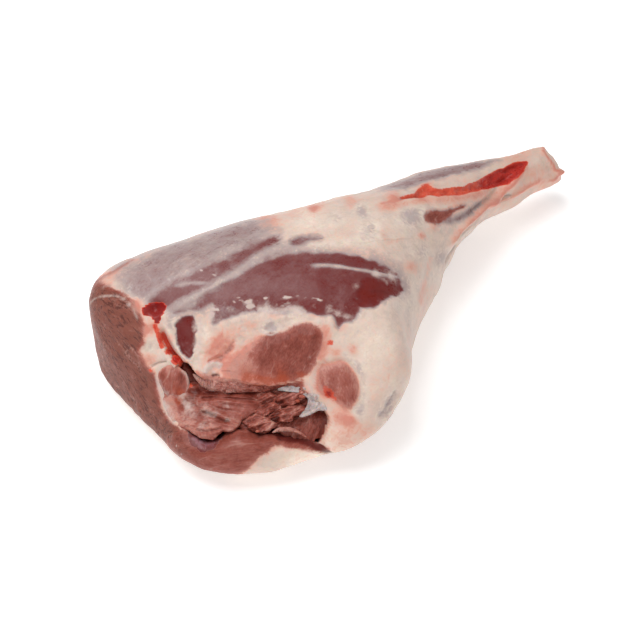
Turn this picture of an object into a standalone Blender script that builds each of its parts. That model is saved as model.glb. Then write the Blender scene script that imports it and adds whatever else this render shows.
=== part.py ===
"""Raw leg of lamb, bone in, lying on its outer side with the sawn rump end open.

Metres, +Z up. +X runs along the leg from the rump to the shank, +Y to the far side.
The origin is on the surface that the leg lies on, under the middle of its box.

The thigh and shank are one loft of rounded sections. Flat cuts trim the rump end, and
the muscles that stand out of the open cut are joined on. A voxel remesh and a light
smoothing round the joins as soft meat is, and the clefts are then cut in.
"""
import math
from collections import namedtuple

import bmesh
import bpy
from mathutils import Matrix, Vector

MM = 0.001
NAME = "leg"

# How finely the surface is made, and how far soft meat rounds and spreads.
RING_POINTS = 16          # cage points round each section
SMOOTH_LEVELS = 2         # subdivisions of the loft
CAGE_GROWTH = 1.025       # a subdivided ring of 16 points shrinks by about this much
SINK = 2.0 * MM           # how far the soft underside spreads flat on the surface
VOXEL = 3.0 * MM          # remesh size
SOFTENING = 8             # smoothing steps, each over about one voxel
TRIANGLE_SHARE = 0.20     # share of the remeshed triangles that is kept

# A section across the leg: its place along X, the heights of its top and underside, how
# far it reaches to the far (+Y) and near (-Y) side, its middle, and how square it is
# (2 is an ellipse, 3 a box with round corners). Lengths are in millimetres.
Section = namedtuple("Section", "x top bottom far near middle_y middle_z square")
SECTIONS = (
    Section(-206, 76, 18, 114, -41, 16, 40, 3.0),    # beyond the saw cut
    Section(-173, 84, 6, 110, -64, 12, 42, 3.0),     # rump
    Section(-142, 91, 0, 104, -90, 7, 44, 2.8),      # hip
    Section(-106, 97, 0, 95, -110, -3, 44, 2.5),     # widest part of the thigh
    Section(-64, 98, 0, 84, -102, -11, 44, 2.3),
    Section(-26, 94, 0, 72, -71, -9, 43, 2.2),       # stifle
    Section(14, 86, 1, 58, -47, 1, 41, 2.1),
    Section(55, 75, 4, 50, -29, 8, 38, 2.0),         # knee
    Section(96, 65, 8, 44, -15, 13, 36, 2.0),
    Section(127, 57, 12, 32, -5, 12, 34, 2.1),       # shank
    Section(158, 51, 14, 19, -9, 6, 32, 2.3),
    Section(202, 46, 15, 11, -11, 1, 30, 2.4),      # beyond the hock cut
)

# Flat cuts: a point on the cut, in millimetres, and the way the cut face looks.
CUTS = {
    "saw_cut": ((-187, 26, 24), (-1.0, 0.10, 0.12)),
    "rump_corner_cut": ((-171, 84, 33), (-0.65, 0.75, 0.0)),
    "open_cut": ((-144, -36, 43), (-0.60, -0.45, 0.68)),
    "hock_cut": ((188, 2, 30), (0.93, 0.0, 0.35)),
}
BLOCK = 500 * MM          # side of the blocks that make the flat cuts

# The open cut has its own frame: across runs along its lower edge towards the shank,
# up runs up its slope, and out stands off it.
CUT_TURN = math.radians(-43)
CUT_TILT = math.radians(43)
CUT_CENTRE = Vector((-144, -36, 43)) * MM

# Muscles that stand out of the cut: across, up, out, then the three radii in the same
# order and the turn within the cut's plane in degrees.
LOBES = {
    "top_muscle": ((22, 31, -4), (42, 21, 15), 24),
    "round_muscle": ((62, 12, -2), (17, 24, 14), 10),
    "middle_meat": ((4, -7, -4), (46, 15, 18), 4),
    "small_oval": ((-46, 6, -7), (15, 26, 14), 12),
    "inner_fat": ((-22, 36, -8), (26, 24, 14), 60),
}
FLAP_CENTRE = Vector((-144, -35, 19)) * MM
FLAP_RADII = Vector((48, 38, 20)) * MM
FLAP_TURN = math.radians(-40)

# Clefts between the muscles: their route over the cut (across, up), the half width,
# and how deep they reach below the cut face.
CLEFTS = {
    "upper_cleft": (((-56, 52), (-52, 38), (-44, 25), (-36, 15), (-22, 7), (0, 6), (24, 8),
                     (47, 13)), 2.2, 20),
    "lower_cleft": (((-42, -24), (-18, -26), (4, -20), (30, -23), (54, -29)), 2.4, 20),
    "deep_pocket": (((32, -19), (42, -15), (53, -10)), 4.5, 24),
}
CLEFT_RISE = 22 * MM      # how far a cleft's cutter stands out of the cut face

# The tendon that stands out along the near side of the shank, and the knots of gristle
# at its end, in millimetres.
TENDON_ROUTE = ((36, -34, 40), (64, -26, 44), (94, -17, 45), (124, -10, 46), (156, -2, 46))
TENDON_RADIUS = 3.4 * MM
HOCK_KNOTS = (((184, 3, 41), 5.5), ((188, -5, 24), 5.0))

RAW_MEAT = (0.52, 0.27, 0.22, 1.0)
MEAT_ROUGHNESS = 0.45


def clear_scene():
    """Remove whatever the scene holds."""
    for old in list(bpy.data.objects):
        bpy.data.objects.remove(old, do_unlink=True)


def new_collection(name):
    made = bpy.data.collections.new(name)
    bpy.context.scene.collection.children.link(made)
    return made


def raw_meat():
    """Raw lamb: brownish pink, a little moist, not metallic."""
    material = bpy.data.materials.new("raw_meat")
    material.use_nodes = True
    shader = material.node_tree.nodes["Principled BSDF"]
    shader.inputs["Base Color"].default_value = RAW_MEAT
    shader.inputs["Roughness"].default_value = MEAT_ROUGHNESS
    shader.inputs["Metallic"].default_value = 0.0
    material.diffuse_color = RAW_MEAT
    return material


def object_from_bmesh(name, shape, collection):
    mesh = bpy.data.meshes.new(name)
    bmesh.ops.recalc_face_normals(shape, faces=shape.faces)
    shape.to_mesh(mesh)
    shape.free()
    made = bpy.data.objects.new(name, mesh)
    collection.objects.link(made)
    return made


def keep_out_of_render(cutter):
    cutter.hide_render = True
    cutter.display_type = "WIRE"


def superellipse(angle, square):
    """A point at this angle on a superellipse of half width and half height 1."""
    power = 2.0 / square
    across = math.copysign(abs(math.cos(angle)) ** power, math.cos(angle))
    up = math.copysign(abs(math.sin(angle)) ** power, math.sin(angle))
    return across, up


def section_ring(section):
    """The cage points of one section, as a superellipse with unlike quarters."""
    ring = []
    for step in range(RING_POINTS):
        across, up = superellipse(2 * math.pi * step / RING_POINTS, section.square)
        reach = section.far if across > 0 else section.near
        rise = section.top if up > 0 else section.bottom - SINK / MM
        half_width = abs(reach - section.middle_y) * CAGE_GROWTH
        half_height = abs(rise - section.middle_z) * CAGE_GROWTH
        y = section.middle_y + across * half_width
        z = section.middle_z + up * half_height
        ring.append(Vector((section.x, y, z)) * MM)
    return ring


def leg_loft(collection):
    """Thigh and shank: the sections joined ring to ring, closed and subdivided."""
    shape = bmesh.new()
    rings = [[shape.verts.new(point) for point in section_ring(s)] for s in SECTIONS]
    for left, right in zip(rings, rings[1:]):
        for step in range(RING_POINTS):
            after = (step + 1) % RING_POINTS
            shape.faces.new((left[step], left[after], right[after], right[step]))
    shape.faces.new(rings[0])
    shape.faces.new(rings[-1])
    leg = object_from_bmesh(NAME, shape, collection)
    soften = leg.modifiers.new("soften", "SUBSURF")
    soften.levels = SMOOTH_LEVELS
    soften.render_levels = SMOOTH_LEVELS
    return leg


def flat_cut(name, point, outward, collection):
    """A block whose inner face lies on the cut, with the waste side inside it."""
    shape = bmesh.new()
    bmesh.ops.create_cube(shape, size=BLOCK)
    outward = Vector(outward).normalized()
    turn = outward.to_track_quat("Z", "Y").to_matrix().to_4x4()
    place = Matrix.Translation(Vector(point) * MM + outward * BLOCK / 2)
    bmesh.ops.transform(shape, matrix=place @ turn, verts=shape.verts)
    block = object_from_bmesh(name, shape, collection)
    keep_out_of_render(block)
    return block


def cut_frame():
    """The matrix from the open cut's own frame (across, up, out) to the leg's."""
    out = Vector((math.sin(CUT_TURN) * math.cos(CUT_TILT),
                  -math.cos(CUT_TURN) * math.cos(CUT_TILT),
                  math.sin(CUT_TILT)))
    across = Vector((math.cos(CUT_TURN), math.sin(CUT_TURN), 0.0))
    up = out.cross(across)
    axes = Matrix((across, up, out)).transposed().to_4x4()
    return Matrix.Translation(CUT_CENTRE) @ axes


def ellipsoid(name, place, radii, collection):
    """A sphere stretched to three radii and placed by a matrix."""
    shape = bmesh.new()
    bmesh.ops.create_uvsphere(shape, u_segments=24, v_segments=14, radius=1.0)
    stretch = Matrix.Diagonal((*radii, 1.0))
    bmesh.ops.transform(shape, matrix=place @ stretch, verts=shape.verts)
    made = object_from_bmesh(name, shape, collection)
    keep_out_of_render(made)
    return made


def cut_lobe(name, centre, radii, turn, collection):
    """A muscle that stands out of the open cut."""
    place = cut_frame() @ Matrix.Translation(Vector(centre) * MM)
    place = place @ Matrix.Rotation(math.radians(turn), 4, "Z")
    return ellipsoid(name, place, Vector(radii) * MM, collection)


def lower_flap(collection):
    """The flap of meat that lies forward on the surface below the open cut."""
    place = Matrix.Translation(FLAP_CENTRE) @ Matrix.Rotation(FLAP_TURN, 4, "Z")
    return ellipsoid("lower_flap", place, FLAP_RADII, collection)


def tube(name, route, radius, collection, place=Matrix.Identity(4)):
    """A round tube along a smooth route, made a closed mesh."""
    curve = bpy.data.curves.new(name, "CURVE")
    curve.dimensions = "3D"
    curve.bevel_depth = radius
    curve.bevel_resolution = 2
    curve.resolution_u = 4
    curve.use_fill_caps = True
    spline = curve.splines.new("NURBS")
    spline.points.add(len(route) - 1)
    for point, here in zip(spline.points, route):
        point.co = (*here, 1.0)
    spline.order_u = 3
    spline.use_endpoint_u = True
    guide = bpy.data.objects.new(name + "_guide", curve)
    collection.objects.link(guide)
    bpy.context.view_layer.update()
    depsgraph = bpy.context.evaluated_depsgraph_get()
    mesh = bpy.data.meshes.new_from_object(guide.evaluated_get(depsgraph))
    bpy.data.objects.remove(guide, do_unlink=True)
    shape = bmesh.new()
    shape.from_mesh(mesh)
    bpy.data.meshes.remove(mesh)
    bmesh.ops.remove_doubles(shape, verts=shape.verts, dist=0.01 * MM)
    bmesh.ops.transform(shape, matrix=place, verts=shape.verts)
    made = object_from_bmesh(name, shape, collection)
    keep_out_of_render(made)
    return made


def cleft(name, route, half_width, depth, collection):
    """A tube along the cleft's route, stretched through the cut face into a thin slot."""
    reach = (depth * MM + CLEFT_RISE) / 2
    middle = CLEFT_RISE - reach
    stretch = reach / (half_width * MM)
    place = cut_frame() @ Matrix.Translation((0, 0, middle)) @ Matrix.Diagonal((1, 1, stretch, 1))
    points = [(across * MM, up * MM, 0.0) for across, up in route]
    return tube(name, points, half_width * MM, collection, place)


def tendon(collection):
    route = [Vector(point) * MM for point in TENDON_ROUTE]
    return tube("tendon", route, TENDON_RADIUS, collection)


def join_on(leg, addition):
    union = leg.modifiers.new("join_" + addition.name, "BOOLEAN")
    union.operation = "UNION"
    union.solver = "EXACT"
    union.object = addition


def cut_away(leg, cutter):
    cut = leg.modifiers.new("cut_" + cutter.name, "BOOLEAN")
    cut.operation = "DIFFERENCE"
    cut.solver = "EXACT"
    cut.object = cutter


def soften_joins(leg):
    """Round every join and edge as soft meat is, and keep the triangles few."""
    remesh = leg.modifiers.new("even_mesh", "REMESH")
    remesh.mode = "VOXEL"
    remesh.voxel_size = VOXEL
    smooth = leg.modifiers.new("soft_edges", "SMOOTH")
    smooth.factor = 0.5
    smooth.iterations = SOFTENING
    fewer = leg.modifiers.new("fewer_triangles", "DECIMATE")
    fewer.ratio = TRIANGLE_SHARE
    fewer.use_collapse_triangulate = True


def evaluated_corners(thing):
    """The lowest and highest corner of the finished mesh's box."""
    depsgraph = bpy.context.evaluated_depsgraph_get()
    mesh = bpy.data.meshes.new_from_object(thing.evaluated_get(depsgraph))
    points = [thing.matrix_world @ vertex.co for vertex in mesh.vertices]
    bpy.data.meshes.remove(mesh)
    low = Vector([min(point[axis] for point in points) for axis in range(3)])
    high = Vector([max(point[axis] for point in points) for axis in range(3)])
    return low, high


def centre_over_origin(leg, everything):
    """Shift the leg and its cutters together, so its box stands middle on the origin."""
    low, high = evaluated_corners(leg)
    shift = Vector(((low.x + high.x) / 2, (low.y + high.y) / 2, low.z))
    for thing in everything:
        thing.location -= shift


def build():
    clear_scene()
    parts = new_collection("raw_leg_of_lamb")
    cutters = new_collection("cutters")
    leg = leg_loft(parts)
    leg.data.materials.append(raw_meat())
    for name, (point, outward) in CUTS.items():
        cut_away(leg, flat_cut(name, point, outward, cutters))
    for name, (centre, radii, turn) in LOBES.items():
        join_on(leg, cut_lobe(name, centre, radii, turn, cutters))
    join_on(leg, lower_flap(cutters))
    join_on(leg, tendon(cutters))
    for number, (centre, radius) in enumerate(HOCK_KNOTS):
        place = Matrix.Translation(Vector(centre) * MM)
        join_on(leg, ellipsoid("hock_knot_%d" % number, place, [radius * MM] * 3, cutters))
    soften_joins(leg)
    for name, (route, half_width, depth) in CLEFTS.items():
        cut_away(leg, cleft(name, route, half_width, depth, cutters))
    cut_away(leg, flat_cut("resting_face", (0, 0, 0), (0, 0, -1), cutters))
    bpy.context.view_layer.update()
    centre_over_origin(leg, [*parts.objects, *cutters.objects])


build()
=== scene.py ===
"""A raw leg of lamb with its bone in, lying as the butcher leaves it.

Lengths in this script are millimetres, measured from the middle of the leg's box at table level:
x runs along the leg from the rump to the hock, y to the far side, z up.
The open end of the leg is drawn on a flat board that stands square to it. On the board, "across"
runs to the right, "up" runs up the board, and "out" runs off the board towards the viewer.
"""

import itertools
import math

import bpy
import numpy as np
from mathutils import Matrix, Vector


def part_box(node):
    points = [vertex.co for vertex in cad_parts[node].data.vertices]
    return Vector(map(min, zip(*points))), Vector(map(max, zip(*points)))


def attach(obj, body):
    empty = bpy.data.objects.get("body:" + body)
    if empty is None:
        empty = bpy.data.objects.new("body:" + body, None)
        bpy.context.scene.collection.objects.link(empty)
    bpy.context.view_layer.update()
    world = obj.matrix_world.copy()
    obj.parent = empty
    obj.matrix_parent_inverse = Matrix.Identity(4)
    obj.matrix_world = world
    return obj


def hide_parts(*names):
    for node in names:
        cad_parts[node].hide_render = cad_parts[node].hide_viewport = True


MM = 0.001

# ---- The leg's form ----

# One column per section from the rump to the hock.
ALONG = (-206, -173, -142, -106, -64, -26, 14, 55, 96, 127, 158, 188)
TOP = (76, 84, 91, 97, 98, 94, 86, 75, 65, 57, 51, 47)
BOTTOM = (18, 6, 0, 0, 0, 0, 1, 4, 8, 12, 14, 15)
FAR_SIDE = (114, 110, 104, 95, 84, 72, 58, 50, 44, 32, 19, 12)
NEAR_SIDE = (-41, -64, -90, -110, -102, -71, -47, -29, -15, -5, -9, -10)
MIDDLE_ACROSS = (16, 12, 7, -3, -11, -9, 1, 8, 13, 12, 6, 2)
MIDDLE_UP = (40, 42, 44, 44, 44, 43, 41, 38, 36, 34, 32, 30)
SQUARENESS = (3, 3, 2.8, 2.5, 2.3, 2.2, 2.1, 2, 2, 2.1, 2.3, 2.4)

# The knife and saw cuts: a point on the cut, the way that it faces, and how far its edge is rounded.
CUTS = (
    ((-186, 26, 24), (-1, 0.1, 0.12), 15), ((-171, 84, 33), (-0.65, 0.75, 0), 20),
    ((-144, -36, 43), (-0.6, -0.45, 0.68), 22), ((188, 2, 30), (0.93, 0, 0.35), 6),
)
FLAP_MIDDLE = (-144, -35, 20)
FLAP_RADII = (48, 38, 20)
FLAP_TURN = -40
FLAP_BLEND = 15

# Where the rays that find the skin start: a fan in the rump, a row along the bone, a fan in the hock.
RUMP_FAN = -118
HOCK_FAN = 182
RUMP_ROWS = 110
THIGH_ROWS = 60
THIGH_END = -60
SHANK_ROWS = 146
HOCK_ROWS = 14
ROUND_COLUMNS = 300
SEEN_FROM = 55
SEEN_TO = 245
SEEN_BLEND = 30

# ---- The board that the open end is drawn on ----

BOARD_MIDDLE = np.array((-144.0, -36.0, 43.0))
BOARD_TURN = -43
BOARD_TILT = 43
# How far from a curve a point still counts, and the grid that the form's height is looked up on.
BOARD_REACH = 14.0
BOARD_STEP = 2.0
BOARD_ACROSS = (-70, 90)
BOARD_UP = (-56, 70)
BOARD_BEHIND = 30.0


def board_axes(turn, tilt):
    """Across, up and out of a board turned round the upright and tilted back, in degrees."""
    turn, tilt = math.radians(turn), math.radians(tilt)
    out = np.array((math.sin(turn) * math.cos(tilt), -math.cos(turn) * math.cos(tilt), math.sin(tilt)))
    across = np.array((math.cos(turn), math.sin(turn), 0.0))
    return across, np.cross(out, across), out


ACROSS, UP, OUT = board_axes(BOARD_TURN, BOARD_TILT)


def on_board(a, b, o):
    """Where in space the points at across a, up b and out o of the board are."""
    return BOARD_MIDDLE + a[..., None] * ACROSS + b[..., None] * UP + o[..., None] * OUT


# Outlines and lines on the board, across and up. Each is a smooth curve through its points.
PIT = (
    (-36, 24), (-31, 18), (-25, 13), (-18, 8), (-6, 8), (7, 7), (20, 9), (32, 9), (41, 5), (48, -2),
    (54, -8), (54, -15), (51, -22), (47, -26), (36, -23), (24, -21), (12, -21), (0, -17), (-8, -19),
    (-20, -24), (-30, -22), (-36, -17), (-40, -11), (-45, -3), (-46, 7), (-48, 14), (-45, 20),
)
TOP_MUSCLE = (
    (-5, 14), (-10, 19), (-6, 25), (0, 31), (7, 37), (15, 42), (26, 44), (34, 48), (42, 49), (49, 46),
    (51, 40), (49, 30), (45, 21), (38, 15), (30, 12), (20, 10), (8, 11),
)
SMALL_MUSCLE = ((-22, 23), (-16, 29), (-11, 35), (-6, 41), (-3, 38), (-6, 31), (-12, 24), (-18, 21))
ROUND_MUSCLE = (
    (48, 14), (50, 21), (56, 23), (65, 24), (71, 17), (74, 8), (72, 0), (67, -4), (61, -1), (56, 4),
    (49, 7),
)
SAWN_FACE = (
    (-108, 70), (-98, 73), (-92, 76), (-83, 72), (-75, 67), (-69, 62), (-66, 55), (-63, 46), (-63, 37),
    (-66, 31), (-61, 22), (-56, 16), (-54, 6), (-52, -4), (-46, -13), (-40, -20), (-60, -32), (-96, -6),
    (-118, 25), (-118, 62),
)
TOP_EDGE = ((-97, 74), (-93, 78), (-88, 81), (-83, 84), (-79, 87), (-73, 91))
SAWN_RIM = ((-100, 56), (-97, 63), (-92, 66), (-85, 67), (-78, 66), (-73, 61), (-69, 55), (-68, 48))
CREAM_RIM = ((-56, 18), (-55, 12), (-53, 6), (-51, 0), (-49, -6), (-45, -12), (-41, -16))
MAIN_MUSCLE = (
    (-44, 56), (-34, 59), (-25, 66), (-15, 73), (-5, 79), (5, 86), (15, 90), (28, 94), (45, 95), (60, 95),
    (76, 92), (90, 87), (100, 81), (102, 73), (100, 67), (90, 64), (84, 60), (74, 61), (74, 56), (71, 50),
    (65, 49), (61, 45), (59, 50), (57, 55), (51, 54), (46, 55), (41, 56), (36, 57), (30, 57), (24, 56),
    (19, 56), (14, 57), (9, 57), (4, 56), (-1, 56), (-6, 55), (-9, 53), (-13, 51), (-18, 49), (-20, 53),
    (-19, 60), (-21, 62), (-30, 58),
)
DARK_MUSCLE = (
    (-43, 46), (-40, 52), (-34, 54), (-30, 51), (-30, 42), (-31, 32), (-34, 27), (-39, 31), (-42, 38),
)
BARE_MUSCLE = (
    (71, 63), (74, 70), (77, 77), (84, 77), (92, 75), (101, 73), (99, 68), (91, 67), (86, 62), (79, 60),
)
THIGH_SKIN = (
    (-80, 76), (-70, 68), (-62, 63), (-52, 58), (-42, 56), (-30, 55), (0, 58), (30, 60), (56, 56), (76, 60),
    (94, 64), (104, 70), (106, 80), (96, 90), (78, 96), (56, 98), (34, 99), (24, 103), (24, 112), (12, 120),
    (-6, 124), (-32, 118), (-58, 108), (-80, 97), (-88, 86),
)
MIDDLE_BAND = (
    (-60, 63), (-50, 72), (-38, 79), (-24, 86), (-10, 92), (0, 98), (12, 103), (22, 105), (22, 102),
    (12, 97), (2, 89), (-9, 82), (-18, 76), (-28, 71), (-40, 64), (-50, 59),
)
TOP_BAND = (
    (-76, 74), (-66, 84), (-52, 94), (-38, 103), (-26, 110), (-8, 113), (10, 114), (14, 110), (0, 104),
    (-17, 97), (-30, 90), (-43, 82), (-56, 72), (-66, 66),
)
DARK_PATCH = ((30, 101), (33, 105), (42, 107), (51, 104), (42, 101), (34, 98))
FAT_STREAK = (
    (-47, 50), (-43, 58), (-29, 67), (-19, 73), (-8, 79), (2, 87), (12, 93), (25, 97), (43, 98), (62, 101),
    (82, 104), (104, 106),
)
HIGH_STREAK = ((-66, 60), (-55, 71), (-43, 80), (-29, 88), (-17, 94), (-4, 100), (10, 106), (20, 110))
THIN_STREAK = ((-47, 73), (-34, 75), (-19, 75))
SEAM_STREAK = ((38, 86), (54, 86), (71, 84), (83, 82), (93, 80), (102, 79))
FLAP_MEAT = (
    (-46, -18), (-36, -19), (-20, -23), (-6, -18), (6, -18), (20, -19), (23, -25), (17, -31), (10, -36),
    (3, -43), (-8, -50), (-24, -48), (-38, -40), (-48, -30),
)
FLAP_PURPLE = (
    (-33, -22), (-27, -23), (-20, -24), (-13, -21), (-15, -26), (-18, -30), (-24, -33), (-30, -30),
)
CREASE = ((20, -22), (27, -24), (36, -25), (44, -28), (52, -32), (60, -36))
MAROON_STRIP = ((20, -20), (28, -22), (38, -24), (46, -27), (54, -31), (44, -31), (34, -29), (25, -27))
SHANK_MUSCLE = (
    (88, 142), (103, 149), (123, 156), (147, 162), (176, 165), (170, 162), (155, 155), (133, 149),
    (113, 143), (100, 140),
)
SHANK_SLIT = (
    (104, 134), (114, 138), (118, 142), (123, 144), (128, 141), (136, 141), (148, 143), (160, 148),
    (170, 154), (179, 158), (188, 162), (196, 163), (191, 157), (183, 150), (172, 145), (160, 142),
    (148, 138), (136, 136), (125, 136), (114, 134),
)
SHANK_SPOT = (
    (120, 122), (125, 125), (134, 126), (149, 130), (141, 125), (134, 119), (128, 116), (122, 118),
)
SHANK_GREY = ((134, 118), (146, 125), (165, 136), (160, 130), (151, 122), (140, 117))
HEEL_TENDON = (
    (135, 100), (140, 107), (147, 115), (154, 121), (162, 128), (170, 135), (178, 143), (185, 149),
    (191, 156), (196, 162),
)
SECOND_TENDON = ((166, 131), (173, 135), (180, 138), (186, 140), (196, 146), (210, 153))
TENDON_LOOP = ((174, 135), (178, 139), (184, 140), (182, 137), (177, 135), (174, 134))
PEACH_BAND = ((85, 126), (98, 127), (112, 130), (128, 133), (144, 135), (157, 138), (170, 143))
HOCK_RIM = ((208, 174), (209, 170), (213, 166), (216, 163), (218, 159), (221, 158), (219, 153), (213, 151))
BLOOD_POOL = ((-65, 57), (-62, 60), (-56, 63), (-50, 62), (-50, 58), (-54, 50), (-58, 53))
RED_STREAK = ((-57, 50), (-55, 44), (-53, 38), (-51, 32))
BLOODY_CLEFT = ((-53, 50), (-50, 40), (-45, 31), (-39, 24), (-35, 18), (-31, 12))
HEEL_CREASE = ((145, 104), (139, 96), (136, 89))
SLIT_CREASE = ((102, 132), (110, 135), (118, 137))
POCKET_CREASE = ((24, -20), (36, -22), (45, -26), (54, -31))
FACE_CREASE = ((-60, 21), (-54, 24), (-48, 25))
FLANK_FOLD = ((87, -12), (92, -6), (97, 1), (100, 8))
CURL_GROOVE = ((-22, 24), (-17, 27), (-12, 29))


# ---- Curves and noise ----


def ease(value, start=0.0, end=1.0):
    """0 before start, 1 after end, and a smooth step t * t * (3 - 2t) between them."""
    t = np.clip((value - start) / (end - start), 0, 1)
    return t * t * (3 - 2 * t)


def hump(distance, width):
    """A bell: 1 at the line, falling as exp(-(distance / width) squared)."""
    return np.exp(-((distance / width) ** 2))


def soft_max(first, second, blend):
    """The larger of two fields, with h * h * blend / 4 added where they are within blend of each other."""
    h = np.maximum(blend - np.abs(first - second), 0) / blend
    return np.maximum(first, second) + h * h * blend / 4


def along_leg(x, values):
    """A value at x from the values at the sections: cubic curves that never overshoot a section."""
    station = np.array(ALONG, float)
    value = np.array(values, float)
    gap = np.diff(station)
    rise = np.diff(value) / gap
    before, after = rise[:-1], rise[1:]
    same_way = before * after > 0
    weight_1 = 2 * gap[1:] + gap[:-1]
    weight_2 = gap[1:] + 2 * gap[:-1]
    inner = np.zeros(len(before))
    before, after = np.where(same_way, before, 1), np.where(same_way, after, 1)
    mean = (weight_1 + weight_2) / (weight_1 / before + weight_2 / after)
    inner[same_way] = mean[same_way]
    slope = np.concatenate(([rise[0]], inner, [rise[-1]]))
    x = np.clip(x, station[0], station[-1])
    i = np.clip(np.searchsorted(station, x, side="right") - 1, 0, len(gap) - 1)
    t = (x - station[i]) / gap[i]
    return (
        (1 + 2 * t) * (1 - t) ** 2 * value[i]
        + t * (1 - t) ** 2 * gap[i] * slope[i]
        + t * t * (3 - 2 * t) * value[i + 1]
        + t * t * (t - 1) * gap[i] * slope[i + 1]
    )


def value_noise(points, size, seed):
    """Smooth random heights from -1 to 1: random corners of cells `size` wide, eased across each cell."""
    corners = np.random.default_rng(seed).uniform(-1, 1, (32, 32, 32))
    spot = points / size + seed * 1.37
    cell = np.floor(spot)
    t = spot - cell
    t = t * t * (3 - 2 * t)
    cell = cell.astype(int)
    total = np.zeros(points.shape[:-1])
    for corner in itertools.product((0, 1), repeat=3):
        i, j, k = np.moveaxis((cell + np.array(corner)) % 32, -1, 0)
        share = np.where(np.array(corner) == 1, t, 1 - t)
        total += share.prod(-1) * corners[i, j, k]
    return total


TWIST = np.array(((0.60, 0.64, -0.48), (-0.80, 0.48, -0.36), (0.0, 0.60, 0.80)))


def rough(points, size, seed, layers=3):
    """Layers of smooth noise, each turned, half as wide and half as high as the one before."""
    total = np.zeros(points.shape[:-1])
    for layer in range(layers):
        total += value_noise(points, size, seed + layer) * 0.5**layer
        points = points @ TWIST
        size /= 2
    return total


def creased(points, size, seed, layers=3):
    """Sharp-crested noise from 0 to 1: one minus the size of smooth noise."""
    return 1 - np.abs(rough(points, size, seed, layers)) * 1.2


def smooth_curve(points, closed, steps=6):
    """Points of the Catmull-Rom curve through the given points."""
    p = np.array(points, float)
    if closed:
        before, start, end, after = np.roll(p, 1, 0), p, np.roll(p, -1, 0), np.roll(p, -2, 0)
    else:
        q = np.vstack((2 * p[0] - p[1], p, 2 * p[-1] - p[-2]))
        before, start, end, after = q[:-3], q[1:-2], q[2:-1], q[3:]
    t = np.linspace(0, 1, steps, endpoint=False)[None, :, None]
    before, start, end, after = (side[:, None, :] for side in (before, start, end, after))
    curve = 0.5 * (
        2 * start
        + (end - before) * t
        + (2 * before - 5 * start + 4 * end - after) * t**2
        + (3 * start - before - 3 * end + after) * t**3
    )
    curve = curve.reshape(-1, p.shape[1])
    return curve if closed else np.vstack((curve, p[-1:]))


def near_curve(edge, a, b, reach):
    """Which points lie within `reach` of a curve's box, and those points as pairs."""
    low, high = edge.min(0) - reach, edge.max(0) + reach
    near = (a > low[0]) & (a < high[0]) & (b > low[1]) & (b < high[1])
    return near, np.stack((a[near], b[near]), -1)


def from_edge(p, start, end):
    """How far points are from one straight edge, and how far along it, from 0 to 1."""
    side = end - start
    t = np.clip((p - start) @ side / (side @ side), 0, 1)
    gap = p - start - t[:, None] * side
    return np.hypot(gap[:, 0], gap[:, 1]), t


def inside(outline, a, b, reach=BOARD_REACH):
    """Millimetres inside a closed outline on the board, less than 0 outside, held to `reach`."""
    edge = smooth_curve(outline, True)
    near, p = near_curve(edge, a, b, reach)
    best = np.full(len(p), reach)
    within = np.zeros(len(p), bool)
    for start, end in zip(edge, np.roll(edge, -1, 0)):
        best = np.minimum(best, from_edge(p, start, end)[0])
        run, climb = end - start
        if climb:
            spans = (start[1] > p[:, 1]) != (end[1] > p[:, 1])
            within ^= spans & (p[:, 0] < start[0] + (p[:, 1] - start[1]) * run / climb)
    result = np.full(a.shape, -reach)
    result[near] = np.where(within, best, -best)
    return result


def from_line(line, a, b, reach=BOARD_REACH):
    """How far each point is from an open line on the board, and how far along it, from 0 to 1."""
    edge = smooth_curve(line, False)
    best, place = np.full(a.shape, reach), np.zeros(a.shape)
    near, p = near_curve(edge, a, b, reach)
    nearest, where = best[near], place[near]
    for number, (start, end) in enumerate(zip(edge[:-1], edge[1:])):
        distance, t = from_edge(p, start, end)
        closer = distance < nearest
        nearest = np.where(closer, distance, nearest)
        where = np.where(closer, (number + t) / (len(edge) - 1), where)
    best[near], place[near] = nearest, where
    return best, place


def unit(vectors):
    """The same directions with length one."""
    return vectors / np.maximum(np.linalg.norm(vectors, axis=-1, keepdims=True), 1e-9)


# ---- The leg's skin, before any relief ----


def form(points):
    """Roughly how far outside the leg a point is: squared-off oval sections, cut, then the flap added.

    A section is the curve |across / width| ^ n + |up / height| ^ n = 1, with its own width on each side.
    """
    x, y, z = np.moveaxis(points, -1, 0)
    middle_y, middle_z = along_leg(x, MIDDLE_ACROSS), along_leg(x, MIDDLE_UP)
    dy, dz = y - middle_y, z - middle_z
    width = np.where(dy > 0, along_leg(x, FAR_SIDE) - middle_y, middle_y - along_leg(x, NEAR_SIDE))
    height = np.where(dz > 0, along_leg(x, TOP) - middle_z, middle_z - along_leg(x, BOTTOM))
    power = along_leg(x, SQUARENESS)
    share = (np.abs(dy / width) ** power + np.abs(dz / height) ** power) ** (1 / power)
    field = np.hypot(dy, dz) * (1 - 1 / np.maximum(share, 1e-6))
    field = np.where(share < 1e-3, -np.minimum(width, height), field)
    for point, way, blend in CUTS:
        field = soft_max(field, (points - np.array(point)) @ unit(np.array(way)), blend)
    return -soft_max(-field, -flap(points), FLAP_BLEND)


def flap(points):
    """Roughly how far outside the flap of meat under the open end a point is: a turned egg shape."""
    turn = math.radians(FLAP_TURN)
    d = points - np.array(FLAP_MIDDLE)
    lengthwise = d[..., 0] * math.cos(turn) + d[..., 1] * math.sin(turn)
    sideways = d[..., 1] * math.cos(turn) - d[..., 0] * math.sin(turn)
    share = np.linalg.norm(np.stack((lengthwise, sideways, d[..., 2]), -1) / np.array(FLAP_RADII), axis=-1)
    return np.linalg.norm(d, axis=-1) * (1 - 1 / np.maximum(share, 1e-6))


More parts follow.
